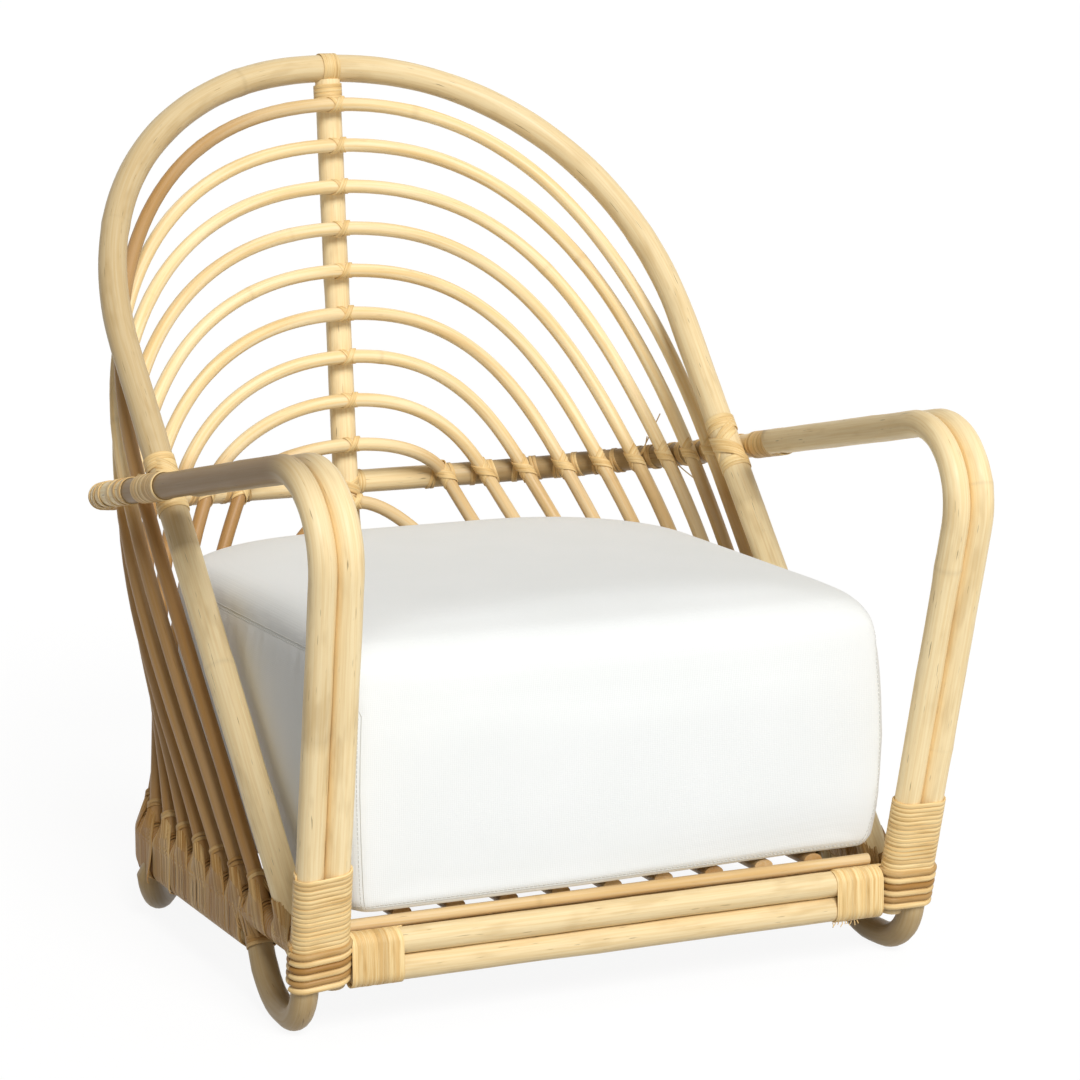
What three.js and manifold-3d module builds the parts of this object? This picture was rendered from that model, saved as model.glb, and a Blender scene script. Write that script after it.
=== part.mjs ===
// A rattan lounge armchair: bent poles, a back hoop filled with a fan of ribs, and one thick loose cushion.
// Millimetres, +Z up, the front faces -Y. The origin is on the floor under the middle of the chair.
// While it is built, y is 0 at the front rails and grows towards the back.

import * as THREE from 'three';
import { mergeVertices } from 'three/addons/utils/BufferGeometryUtils.js';
import Module from 'manifold-3d';

const wasm = await Module();
wasm.setup();

// Pole diameters
const armPole = 26;
const hoopPole = 30;
const spinePole = 28;
const ribPole = 15;
const railPole = 25;
const stripPole = 12;
const ledgerPole = 20;

// Clearance between pieces that touch
const seatGap = 0.3;

// Base: two stacked rails bent round the back, and two straight rails across the front
const baseHalfWidth = 316;
const baseDepth = 582;
const baseCornerRadius = 140;
const railUnderside = 50;
const bindingThickness = 2;
const sideRailFront = 28;
const sideBindingPastCorner = 12;

// Front posts and arms: an outer and an inner pole side by side
const postLean = THREE.MathUtils.degToRad(12.6);
const armSlope = THREE.MathUtils.degToRad(11.25);
const postOutsideBase = 9;
const armFrontHalfWidth = 341;
const armBendRadius = 75;
const footFrontRadius = 50;
const footRearRadius = 80;
const footFlat = 16;
const footEase = 1;
const innerPoleFoot = 53;
const innerPoleEndBeforeHoop = 74;
const armSpliceBehindHoop = 24;

// Back hoop: straight legs and an arch a little fuller than a half ellipse, in one leaning plane
const hoopLean = THREE.MathUtils.degToRad(42.1);
const hoopFootDepth = 62;
const hoopFootInsideBase = 4;
const hoopHalfWidth = 319;
const hoopTopHeight = 857;
const hoopArchRise = 358;
const hoopFullness = 2.12;

// Arm loop: it passes outside the hoop at this height and turns round the back
const armHeightAtHoop = 463;
const crossbarDepth = 726;
const crossbarStraight = 84;

// Spine and ribs
const spineBendBelowCrossbar = 60;
const spineBendRadius = 150;
const ribCount = 10;
const topRibBelowHoop = 38;
const bottomRibAboveCrossbar = 50;
const lowRibBelowCrossbar = 14;
const ribPitchGrowth = 0.05;
const ribFootFirst = 128;
const ribFootPitch = 53.5;
const ribTieFirst = 57;
const ribTiePitch = 49.5;
const topRibShoulder = 0.74;
const topRibFlank = 0.64;
const bottomRibShoulder = 0.54;
const bottomRibFlank = 0.5;
const lowRibShoulder = 0.35;
const lowRibFlank = 0.4;

// Rear feet: loops under the corners of the base
const rearFootAlongCorner = 75;

// Seat slats on two ledgers, with a strip in front of their ends
const slatCount = 9;
const slatEndInset = 58.6;
const slatWidth = 20;
const slatThickness = 14;
const ledgerHeight = 91;
const rearLedgerDepth = 540;
const slatPastLedger = 12;
const stripDepth = 14.5;

// Bindings: wound strands, their width along the winding and their thickness
const cornerStrand = { width: 6.5, thickness: 5, pitch: 7, turns: 6, sides: 6 };
const postStrand = { width: 4.4, thickness: 2.6, pitch: 5, turns: 14, sides: 4 };
const railStrand = { width: 7.2, thickness: 1.8, pitch: 7.8, turns: 6, sides: 4 };
const armStrand = { width: 4.3, thickness: 1.6, pitch: 4.9, turns: 6, sides: 4 };
const crownStrand = { width: 3.6, thickness: 1.6, pitch: 4.1, turns: 3, sides: 4 };
const postBindingFoot = 54;

// Seat cushion
const cushionInsideBase = 29;
const cushionFront = 2;
const cushionBack = 562;
const cushionHeight = 268;
const cushionFrontCorner = 28;
const cushionBackCorner = 150;

// Facets
const poleSides = 8;
const ribSides = 6;
const ribArchSteps = 9;
const ribLegSteps = 4;
const lowRibSteps = 12;
const footSteps = 3;
const legSteps = 4;
const cushionSides = 48;
const turnsPerLoop = 10;
const bendStep = THREE.MathUtils.degToRad(15);

const vec = (x, y, z) => new THREE.Vector3(x, y, z);
const up = vec(0, 0, 1);
const right = vec(1, 0, 0);

// Derived heights of the base
const lowerRailHeight = railUnderside + railPole / 2;
const upperRailHeight = lowerRailHeight + railPole + seatGap;
const railGapHeight = (lowerRailHeight + upperRailHeight) / 2;
const facetShare = Math.cos(Math.PI / poleSides);
const bindingInner = (railPole / 2) * facetShare + seatGap;
const bindingOuter = bindingInner + bindingThickness;
const bindingTop = upperRailHeight + bindingOuter;
const bindingUnderside = lowerRailHeight - bindingOuter;
const seatOnBinding = bindingTop + seatGap;

// Turns rings of points into one closed body
function loft(rings) {
  const count = rings[0].length;
  const positions = rings.flat().flatMap((point) => point.toArray());
  const faces = [];
  for (let i = 0; i + 1 < rings.length; i += 1) {
    for (let j = 0; j < count; j += 1) {
      const a = i * count + j;
      const b = i * count + (j + 1) % count;
      faces.push(a, b, b + count, a, b + count, a + count);
    }
  }
  const last = (rings.length - 1) * count;
  for (let j = 1; j + 1 < count; j += 1) {
    faces.push(0, j + 1, j, last, last + j, last + j + 1);
  }
  const geometry = new THREE.BufferGeometry();
  geometry.setAttribute('position', new THREE.Float32BufferAttribute(positions, 3));
  geometry.setIndex(faces);
  if (signedVolume(geometry) < 0) flipFaces(geometry);
  geometry.computeVertexNormals();
  return geometry;
}

function signedVolume(geometry) {
  const position = geometry.getAttribute('position');
  const index = geometry.getIndex();
  const corners = [vec(0, 0, 0), vec(0, 0, 0), vec(0, 0, 0)];
  let volume = 0;
  for (let i = 0; i < index.count; i += 3) {
    corners.forEach((corner, k) => corner.fromBufferAttribute(position, index.getX(i + k)));
    volume += corners[0].dot(corners[1].cross(corners[2])) / 6;
  }
  return volume;
}

function flipFaces(geometry) {
  const faces = Array.from(geometry.getIndex().array);
  for (let i = 0; i < faces.length; i += 3) {
    [faces[i], faces[i + 1]] = [faces[i + 1], faces[i]];
  }
  geometry.setIndex(faces);
}

// The left piece of a pair, from the right one
function mirrored(geometry) {
  const copy = geometry.clone().scale(-1, 1, 1);
  flipFaces(copy);
  copy.computeVertexNormals();
  return copy;
}

// Straight runs between corners, with an arc of the given radius at each inner corner
function bentPath(corners, radii) {
  const path = [corners[0].clone()];
  for (let i = 1; i + 1 < corners.length; i += 1) {
    const back = corners[i - 1].clone().sub(corners[i]).normalize();
    const ahead = corners[i + 1].clone().sub(corners[i]).normalize();
    const half = back.angleTo(ahead) / 2;
    const radius = radii[i - 1];
    const middle = back.clone().add(ahead).normalize();
    const centre = corners[i].clone().addScaledVector(middle, radius / Math.sin(half));
    const spoke = corners[i].clone().addScaledVector(back, radius / Math.tan(half)).sub(centre);
    const axis = spoke.clone().cross(back).negate().normalize();
    const sweep = Math.PI - 2 * half;
    const steps = Math.ceil(sweep / bendStep);
    for (let j = 0; j <= steps; j += 1) {
      path.push(spoke.clone().applyAxisAngle(axis, (sweep * j) / steps).add(centre));
    }
  }
  path.push(corners.at(-1).clone());
  return path;
}

function tangentsOf(path) {
  return path.map((point, i) => {
    const ahead = path[Math.min(i + 1, path.length - 1)].clone().sub(point).normalize();
    const behind = point.clone().sub(path[Math.max(i - 1, 0)]).normalize();
    return ahead.add(behind).normalize();
  });
}

// Moves a ring along its pole until it lies in a plane, so that the end is cut flat there
function cutRing(ring, tangent, plane) {
  const slope = plane.normal.dot(tangent);
  return ring.map((point) => point.clone().addScaledVector(tangent, -plane.distanceToPoint(point) / slope));
}

// A round pole along a path, with facets square to the sideways direction that it starts with
function pole(path, diameter, { sides = poleSides, sideways = right, startCut, endCut } = {}) {
  const tangents = tangentsOf(path);
  const normal = sideways.clone().addScaledVector(tangents[0], -sideways.dot(tangents[0])).normalize();
  const rings = path.map((point, i) => {
    if (i > 0) {
      normal.applyQuaternion(new THREE.Quaternion().setFromUnitVectors(tangents[i - 1], tangents[i]));
    }
    const binormal = tangents[i].clone().cross(normal);
    return Array.from({ length: sides }, (_, j) => {
      const angle = ((j + 0.5) * 2 * Math.PI) / sides;
      return point.clone()
        .addScaledVector(normal, (Math.cos(angle) * diameter) / 2)
        .addScaledVector(binormal, (Math.sin(angle) * diameter) / 2);
    });
  });
  if (startCut) rings[0] = cutRing(rings[0], tangents[0], startCut);
  if (endCut) rings[rings.length - 1] = cutRing(rings.at(-1), tangents.at(-1), endCut);
  return loft(rings);
}

function levelPlane(height) {
  return new THREE.Plane(up.clone(), -height);
}

// Cuts one closed body out of another
function subtract(body, cutter) {
  const solids = [body, cutter].map((geometry) => {
    const bare = new THREE.BufferGeometry();
    bare.setAttribute('position', geometry.getAttribute('position'));
    bare.setIndex(geometry.getIndex());
    const merged = mergeVertices(bare);
    const vertProperties = new Float32Array(merged.getAttribute('position').array);
    const triVerts = new Uint32Array(merged.getIndex().array);
    return new wasm.Manifold(new wasm.Mesh({ numProp: 3, vertProperties, triVerts }));
  });
  const mesh = solids[0].subtract(solids[1]).getMesh();
  const geometry = new THREE.BufferGeometry();
  geometry.setAttribute('position', new THREE.Float32BufferAttribute(mesh.vertProperties, 3));
  geometry.setIndex(Array.from(mesh.triVerts));
  geometry.computeVertexNormals();
  return geometry;
}

// A strand wound round one pole, or round two poles that lie side by side
function winding({ start, axis, across, halfSpacing, poleRadius, strand, name }) {
  const beside = axis.clone().cross(across);
  const inner = (poleRadius + seatGap) / Math.cos(Math.PI / turnsPerLoop);
  const middle = inner + strand.thickness / 2;
  const steps = strand.turns * turnsPerLoop;
  const rings = Array.from({ length: steps + 1 }, (_, i) => {
    const angle = (i * 2 * Math.PI) / turnsPerLoop;
    const outward = across.clone().multiplyScalar(Math.cos(angle)).addScaledVector(beside, Math.sin(angle));
    const centre = start.clone()
      .addScaledVector(axis, strand.width / 2 + (strand.pitch * i) / turnsPerLoop)
      .addScaledVector(across, halfSpacing * Math.sign(Math.cos(angle)))
      .addScaledVector(outward, middle);
    return Array.from({ length: strand.sides }, (_, j) => {
      const turn = ((j + 0.5) * 2 * Math.PI) / strand.sides;
      const reach = 1 / Math.cos(Math.PI / strand.sides);
      const wide = strand.sides === 4 ? reach : 1;
      return centre.clone()
        .addScaledVector(axis, (Math.cos(turn) * wide * strand.width) / 2)
        .addScaledVector(outward, (Math.sin(turn) * reach * strand.thickness) / 2);
    });
  });
  let least = Infinity;
  rings.forEach((ring, i) => {
    for (const other of rings.slice(i + turnsPerLoop / 2, i + 2 * turnsPerLoop)) {
      for (const a of ring) {
        for (const b of other) least = Math.min(least, a.distanceTo(b));
      }
    }
  });
  console.log(`${name}: least gap between turns ${least.toFixed(2)} mm`);
  return loft(rings);
}

// Widths that follow the base
const postHalfWidth = baseHalfWidth + postOutsideBase;
const hoopFootHalfWidth = baseHalfWidth - hoopFootInsideBase;
const cushionHalfWidth = baseHalfWidth - cushionInsideBase;

// Front posts: where the axis of a post is at a height, on the right
const leanSlope = Math.tan(postLean);
const postDepth = (height) => -leanSlope * (height - railGapHeight);

// Back hoop: the leaning plane that it lies in
const hoopSlope = Math.tan(hoopLean);
const hoopDepth = (height) => hoopFootDepth + hoopSlope * (height - seatOnBinding);
const hoopPlaneHeight = (hoopTopHeight - seatOnBinding) / Math.cos(hoopLean);
const hoopSpring = hoopPlaneHeight - hoopArchRise;
const hoopPoint = (x, along) => vec(
  x,
  hoopFootDepth + along * Math.sin(hoopLean),
  seatOnBinding + along * Math.cos(hoopLean),
);

// Arm loop: a plane that falls towards the back and passes outside the hoop
const armDepthAtHoop = hoopDepth(armHeightAtHoop);
const armFall = Math.tan(armSlope);
const armHeight = (depth) => armHeightAtHoop - armFall * (depth - armDepthAtHoop);
const shareUpLeg = (armHeightAtHoop - seatOnBinding) / (hoopSpring * Math.cos(hoopLean));
const hoopHalfWidthAtArm = THREE.MathUtils.lerp(hoopFootHalfWidth, hoopHalfWidth, shareUpLeg);
const armHalfWidth = hoopHalfWidthAtArm + (hoopPole + armPole) / 2 + seatGap;
const armCornerHeight = (armHeightAtHoop + armFall * armDepthAtHoop - armFall * leanSlope * railGapHeight)
  / (1 - armFall * leanSlope);
const armSpliceDepth = armDepthAtHoop + armSpliceBehindHoop;
const crossbarBendRadius = (crossbarDepth - armDepthAtHoop) / Math.cos(armSlope) - crossbarStraight;
const armPoint = (x, depth) => vec(x, depth, armHeight(depth));

// Posts splay a little, so their width grows with height
const postX = (height) => THREE.MathUtils.mapLinear(
  height,
  railGapHeight,
  armCornerHeight,
  postHalfWidth,
  armFrontHalfWidth,
);
const polePitch = armPole + seatGap;

// Feet: the pole stands on the flat facet of a short straight run, and a wide bend takes it up to the base
const footHeight = (armPole / 2) * facetShare;
const footCut = levelPlane(bindingUnderside - seatGap);
const reachTo = (height) => Math.acos((footHeight + footRearRadius - height) / footRearRadius);
const footReach = reachTo(bindingUnderside);

// A bend that leaves the floor: how far along and how high it is, from its flat run to an angle
function footBend(radius, reach, steps) {
  return Array.from({ length: steps + 1 }, (_, i) => {
    const angle = (reach * i) / steps;
    return { along: radius * Math.sin(angle), height: footHeight + radius * (1 - Math.cos(angle)) };
  });
}

// Front feet: the rear leg passes in front of the lower rail's end and meets the wrapped upper rail
const upperBindingUnderside = upperRailHeight - bindingOuter;
const legReach = reachTo(upperBindingUnderside);
const legBend = footBend(footRearRadius, legReach, legSteps);
const frontReach = Math.PI / 2 - postLean;
const frontBend = footBend(footFrontRadius, frontReach, Math.ceil(frontReach / bendStep));
const flatFront = postDepth(frontBend.at(-1).height) + frontBend.at(-1).along;
const legDepth = flatFront + footFlat + legBend.at(-1).along;
const lowerRailFront = legDepth + armPole / 2 / Math.sin(legReach) + seatGap;

function outerArmPole() {
  const bendLength = frontBend.at(-1).along;
  const length = bendLength + footFlat + legBend.at(-1).along;
  const footX = (depth) => THREE.MathUtils.mapLinear(
    depth,
    flatFront - bendLength,
    flatFront - bendLength + length,
    postX(frontBend.at(-1).height),
    baseHalfWidth,
  );
  const footPoint = (depth, height) => vec(footX(depth), depth, height);
  const foot = [
    ...legBend.toReversed().map((step) => footPoint(flatFront + footFlat + step.along, step.height)),
    footPoint(flatFront + footFlat - footEase, footHeight),
    footPoint(flatFront + footEase, footHeight),
    ...frontBend.map((step) => footPoint(flatFront - step.along, step.height)),
  ];
  const sideways = foot.at(-1).clone().sub(foot[0]).setZ(0).cross(up).normalize();
  const corner = vec(armFrontHalfWidth, postDepth(armCornerHeight), armCornerHeight);
  const arm = bentPath([foot.at(-1), corner, armPoint(armHalfWidth, armSpliceDepth)], [armBendRadius]);
  const legCut = levelPlane(upperBindingUnderside - seatGap);
  return pole([...foot, ...arm.slice(1)], armPole, { sideways, startCut: legCut });
}

function innerArmPole() {
  const endDepth = armDepthAtHoop - innerPoleEndBeforeHoop;
  const share = (endDepth - postDepth(armCornerHeight)) / (armSpliceDepth - postDepth(armCornerHeight));
  const endHalfWidth = THREE.MathUtils.lerp(armFrontHalfWidth, armHalfWidth, share);
  const path = bentPath([
    vec(postX(innerPoleFoot) - polePitch, postDepth(innerPoleFoot), innerPoleFoot),
    vec(armFrontHalfWidth - polePitch, postDepth(armCornerHeight), armCornerHeight),
    armPoint(endHalfWidth - polePitch, endDepth),
  ], [armBendRadius]);
  return pole(path, armPole);
}

function hoopPath() {
  const archSteps = Math.round((2 * Math.PI) / bendStep);
  const arch = Array.from({ length: archSteps + 1 }, (_, i) => {
    const angle = (Math.PI * i) / archSteps;
    const across = Math.sign(Math.cos(angle)) * Math.abs(Math.cos(angle)) ** (2 / hoopFullness);
    const rise = Math.sin(angle) ** (2 / hoopFullness);
    return hoopPoint(hoopHalfWidth * across, hoopSpring + hoopArchRise * rise);
  });
  return [hoopPoint(hoopFootHalfWidth, 0), ...arch, hoopPoint(-hoopFootHalfWidth, 0)];
}

function backHoop(diameter) {
  const cut = levelPlane(seatOnBinding);
  return pole(hoopPath(), diameter, { startCut: cut, endCut: cut });
}

// Spine: it meets the hoop's underside, passes in front of the crossbar and bends down to the rear rail
const crossbarHeight = armHeight(crossbarDepth);
const spineTop = vec(0, hoopDepth(hoopTopHeight), hoopTopHeight);
const spineAtCrossbar = vec(0, crossbarDepth - (armPole + spinePole) / 2 - seatGap, crossbarHeight);
const spineLean = spineTop.clone().sub(spineAtCrossbar).normalize();
const spinePoint = (height) => spineAtCrossbar.clone()
  .addScaledVector(spineLean, (height - crossbarHeight) / spineLean.z);

function backSpine() {
  const path = bentPath([
    spineTop,
    spinePoint(crossbarHeight - spineBendBelowCrossbar),
    vec(0, baseDepth, seatOnBinding),
  ], [spineBendRadius]);
  const bare = pole(path, spinePole, { endCut: levelPlane(seatOnBinding) });
  return subtract(bare, backHoop(hoopPole + 2 * seatGap));
}

// A place on the base rails' centre line, measured from the front along the right side and round the corner
function alongBase(distance, height) {
  const straight = baseDepth - baseCornerRadius;
  const corner = (baseCornerRadius * Math.PI) / 2;
  if (distance <= straight) return vec(baseHalfWidth, distance, height);
  const angle = Math.min(distance - straight, corner) / baseCornerRadius;
  const past = Math.max(distance - straight - corner, 0);
  return vec(
    baseHalfWidth - baseCornerRadius * (1 - Math.cos(angle)) - past,
    straight + baseCornerRadius * Math.sin(angle),
    height,
  );
}

// A place on the arm loop, measured from the hoop along the right side, moved in from its centre line
function onLoop(distance, inset) {
  const angle = Math.max(distance - crossbarStraight, 0) / crossbarBendRadius;
  const radius = crossbarBendRadius - inset;
  const along = Math.min(distance, crossbarStraight) + radius * Math.sin(angle);
  const place = vec(
    armHalfWidth - crossbarBendRadius + radius * Math.cos(angle),
    armDepthAtHoop + along * Math.cos(armSlope),
    armHeightAtHoop - along * Math.sin(armSlope),
  );
  const slopeBack = vec(0, Math.cos(armSlope), -Math.sin(armSlope));
  const inward = right.clone().multiplyScalar(-Math.cos(angle)).addScaledVector(slopeBack, -Math.sin(angle));
  return { place, inward };
}

const ribTie = (number) => ribTieFirst + ribTiePitch * number;

function backCrossbar() {
  const front = armPoint(armHalfWidth, armSpliceDepth + seatGap);
  const bendEnd = crossbarStraight + (crossbarBendRadius * Math.PI) / 2;
  const ties = Array.from({ length: ribCount - 1 }, (_, number) => ribTie(number));
  const half = [front, ...[crossbarStraight, ...ties, bendEnd].map((distance) => onLoop(distance, 0).place)];
  const otherHalf = half.map((point) => point.clone().setX(-point.x));
  return pole([...half, ...otherHalf.reverse()], armPole);
}

// How high a rib crosses the spine: spread from under the hoop down to the crossbar, the last one below it
function ribHeight(number) {
  if (number === ribCount - 1) return crossbarHeight - lowRibBelowCrossbar;
  const share = number / (ribCount - 2);
  const drop = (1 - ribPitchGrowth) * share + ribPitchGrowth * share ** 2;
  return THREE.MathUtils.lerp(hoopTopHeight - topRibBelowHoop, crossbarHeight + bottomRibAboveCrossbar, drop);
}

// Half a rib, from its apex in front of the spine to its foot on the base
function halfRib(number) {
  const apex = spinePoint(ribHeight(number)).add(vec(0, -(spinePole + ribPole) / 2 - seatGap, 0));
  const foot = alongBase(ribFootFirst + ribFootPitch * number, seatOnBinding);
  if (number === ribCount - 1) {
    const shoulder = apex.clone().setX(lowRibShoulder * foot.x);
    const arch = new THREE.CubicBezierCurve3(apex, shoulder, foot.clone().lerp(shoulder, lowRibFlank), foot);
    return arch.getPoints(lowRibSteps);
  }
  const tie = onLoop(ribTie(number), (armPole + ribPole) / 2 + seatGap);
  const leg = foot.clone().sub(tie.place);
  const down = leg.clone().addScaledVector(tie.inward, -leg.dot(tie.inward)).normalize();
  const share = number / (ribCount - 2);
  const shoulder = THREE.MathUtils.lerp(topRibShoulder, bottomRibShoulder, share);
  const flank = THREE.MathUtils.lerp(topRibFlank, bottomRibFlank, share);
  const arch = new THREE.CubicBezierCurve3(
    apex,
    apex.clone().setX(shoulder * tie.place.x),
    tie.place.clone().addScaledVector(down, -flank * (apex.z - tie.place.z)),
    tie.place,
  );
  const lower = new THREE.CubicBezierCurve3(
    tie.place,
    tie.place.clone().addScaledVector(down, leg.length() / 3),
    foot.clone().addScaledVector(leg, -1 / 3),
    foot,
  );
  return [...arch.getPoints(ribArchSteps), ...lower.getPoints(ribLegSteps).slice(1)];
}

function backRib(number) {
  const half = halfRib(number);
  const otherHalf = half.slice(1).map((point) => point.clone().setX(-point.x));
  const cut = levelPlane(seatOnBinding);
  return pole([...half.toReversed(), ...otherHalf], ribPole, { sides: ribSides, startCut: cut, endCut: cut });
}

function baseRail(front, height) {
  const path = bentPath([
    vec(baseHalfWidth, front, height),
    vec(baseHalfWidth, baseDepth, height),
    vec(-baseHalfWidth, baseDepth, height),
    vec(-baseHalfWidth, front, height),
  ], [baseCornerRadius, baseCornerRadius]);
  return pole(path, railPole);
}

// A sleeve of close turns along the base rails, round both of them or round the upper one alone
function railSleeve(path, undermost) {
  const tangents = tangentsOf(path);
  const body = (flatReach, overhang) => loft(path.map((point, i) => {
    const outward = tangents[i].clone().cross(up);
    const end = i === 0 ? -overhang : overhang * Number(i === path.length - 1);
    return Array.from({ length: poleSides }, (_, j) => {
      const angle = ((j + 0.5) * 2 * Math.PI) / poleSides;
      const railHeight = Math.sin(angle) > 0 ? upperRailHeight : undermost;
      return point.clone()
        .addScaledVector(tangents[i], end)
        .addScaledVector(outward, (Math.cos(angle) * flatReach) / facetShare)
        .setZ(railHeight + (Math.sin(angle) * flatReach) / facetShare);
    });
  }));
  return subtract(body(bindingOuter, 0), body(bindingInner, 1));
}

const baseStraight = baseDepth - baseCornerRadius;
const baseCornerLength = (baseCornerRadius * Math.PI) / 2;
const bindingSplit = baseStraight + baseCornerLength + sideBindingPastCorner;

function sideBinding() {
  const steps = Math.ceil(Math.PI / 2 / bendStep);
  const corner = Array.from({ length: steps + 1 }, (_, i) => baseStraight + (baseCornerLength * i) / steps);
  const places = [lowerRailFront, ...corner, bindingSplit].map((distance) => alongBase(distance, 0));
  return railSleeve(places, lowerRailHeight);
}

function frontSideBinding() {
  const places = [sideRailFront, lowerRailFront - seatGap].map((distance) => alongBase(distance, 0));
  return railSleeve(places, upperRailHeight);
}

function rearBinding() {
  const end = alongBase(bindingSplit + seatGap, 0);
  return railSleeve([end, end.clone().setX(-end.x)], lowerRailHeight);
}

function rearFoot() {
  const rear = footBend(footRearRadius, footReach, footSteps);
  const halfLength = footFlat / 2 + rear.at(-1).along;
  const angle = rearFootAlongCorner / baseCornerRadius;
  const sagitta = baseCornerRadius - Math.sqrt(baseCornerRadius ** 2 - halfLength ** 2);
  const outward = vec(Math.cos(angle), Math.sin(angle), 0);
  const along = vec(-Math.sin(angle), Math.cos(angle), 0);
  const middle = alongBase(baseStraight + rearFootAlongCorner, 0).addScaledVector(outward, -sagitta / 2);
  const place = (distance, height) => middle.clone().addScaledVector(along, distance).setZ(height);
  const path = [
    ...rear.toReversed().map((step) => place(-footFlat / 2 - step.along, step.height)),
    place(footEase - footFlat / 2, footHeight),
    place(footFlat / 2 - footEase, footHeight),
    ...rear.map((step) => place(footFlat / 2 + step.along, step.height)),
  ];
  return pole(path, armPole, { sideways: outward, startCut: footCut, endCut: footCut });
}

// Post bindings: round both poles of a post, thick strands below and thin ones above
const postAxis = vec(armFrontHalfWidth, postDepth(armCornerHeight), armCornerHeight)
  .sub(vec(postX(postBindingFoot), postDepth(postBindingFoot), postBindingFoot))
  .normalize();
const postAcross = right.clone().addScaledVector(postAxis, -right.dot(postAxis)).normalize();
const cornerBindingRise = cornerStrand.pitch * cornerStrand.turns + cornerStrand.width;

function bindingOnPost(name, strand, rise) {
  const foot = vec(postX(postBindingFoot) - polePitch / 2, postDepth(postBindingFoot), postBindingFoot);
  return winding({
    start: foot.addScaledVector(postAxis, rise),
    axis: postAxis,
    across: postAcross,
    halfSpacing: polePitch / 2,
    poleRadius: armPole / 2,
    strand,
    name,
  });
}

// Front rails: they run between the corner bindings of the two posts
const windingReach = (poleRadius, strand) => (poleRadius + seatGap) / Math.cos(Math.PI / turnsPerLoop)
  + strand.thickness;
const cornerBindingInside = postX(railUnderside) - polePitch - windingReach(armPole / 2, cornerStrand);
const frontRailHalfLength = cornerBindingInside - seatGap;
const railBindingReach = windingReach(railPole / 2, railStrand);

function straightPole(halfLength, depth, height, diameter) {
  return pole([vec(-halfLength, depth, height), vec(halfLength, depth, height)], diameter, { sideways: up });
}

function frontRailBinding() {
  const length = railStrand.pitch * railStrand.turns + railStrand.width;
  return winding({
    start: vec(frontRailHalfLength - length, 0, railGapHeight),
    axis: right.clone(),
    across: up.clone(),
    halfSpacing: (upperRailHeight - lowerRailHeight) / 2,
    poleRadius: railPole / 2,
    strand: railStrand,
    name: 'front_rail_binding',
  });
}

function armBinding() {
  const end = armDepthAtHoop - (hoopPole / Math.cos(hoopLean) + armPole * hoopSlope) / 2 - 2 * seatGap;
  const frontCorner = vec(armFrontHalfWidth, postDepth(armCornerHeight), armCornerHeight);
  const axis = armPoint(armHalfWidth, armSpliceDepth).sub(frontCorner).normalize();
  const length = armStrand.pitch * armStrand.turns + armStrand.width;
  const start = frontCorner.clone().addScaledVector(axis, (end - frontCorner.y) / axis.y - length);
  const across = right.clone().addScaledVector(axis, -right.dot(axis)).normalize();
  return winding({
    start,
    axis,
    across,
    halfSpacing: 0,
    poleRadius: armPole / 2,
    strand: armStrand,
    name: 'arm_binding',
  });
}

function crownBinding() {
  const length = crownStrand.pitch * crownStrand.turns + crownStrand.width;
  const topHeight = hoopTopHeight - hoopPole / 2 - 2 * seatGap;
  return winding({
    start: spinePoint(topHeight).addScaledVector(spineLean, -length),
    axis: spineLean,
    across: right.clone(),
    halfSpacing: 0,
    poleRadius: spinePole / 2,
    strand: crownStrand,
    name: 'crown_binding',
  });
}

// Seat deck: ledgers behind the front rails and between the rear corners, slats over both
const frontLedgerDepth = railBindingReach + ledgerPole / 2 + seatGap;
const slatUnderside = ledgerHeight + (ledgerPole / 2) * facetShare + seatGap;
const stripHeight = upperRailHeight
  + Math.sqrt((railBindingReach + stripPole / 2 + seatGap) ** 2 - stripDepth ** 2);
const slatFront = stripDepth + stripPole / 2 + seatGap;
const slatBack = rearLedgerDepth + slatPastLedger;
const slatPitch = (2 * (frontRailHalfLength - slatEndInset)) / (slatCount - 1);

function rearLedgerHalfLength() {
  const inside = baseCornerRadius - bindingOuter - seatGap;
  const behindCentre = rearLedgerDepth + ledgerPole / 2 - baseStraight;
  const chordLoss = inside * (1 - Math.cos(bendStep / 2));
  return baseHalfWidth - baseCornerRadius + Math.sqrt((inside - chordLoss) ** 2 - behindCentre ** 2);
}

function seatSlat() {
  const ring = (depth) => Array.from({ length: poleSides }, (_, j) => {
    const angle = ((j + 0.5) * 2 * Math.PI) / poleSides;
    const reach = 1 / Math.cos(Math.PI / poleSides);
    return vec(
      (Math.cos(angle) * reach * slatWidth) / 2,
      depth,
      (Math.sin(angle) * reach * slatThickness) / 2,
    );
  });
  return loft([ring(slatFront), ring(slatBack)]);
}

// Seat cushion: rings from its underside to its crown, each a share of the way up and drawn in by these
const cushionBase = slatUnderside + slatThickness + seatGap;
const cushionRings = [
  { share: 0, side: 16, front: 14, back: 18 },
  { share: 0.02, side: 6, front: 5, back: 8 },
  { share: 0.07, side: 1, front: 0, back: 2 },
  { share: 0.3, side: -3, front: -4, back: -6 },
  { share: 0.6, side: -4, front: -5, back: -12 },
  { share: 0.82, side: -2, front: -2, back: -14 },
  { share: 0.905, side: 2, front: 7, back: -10 },
  { share: 0.957, side: 10, front: 26, back: 0 },
  { share: 0.983, side: 28, front: 58, back: 20 },
  { share: 0.996, side: 72, front: 112, back: 66 },
  { share: 1, side: 150, front: 190, back: 140 },
];

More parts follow.
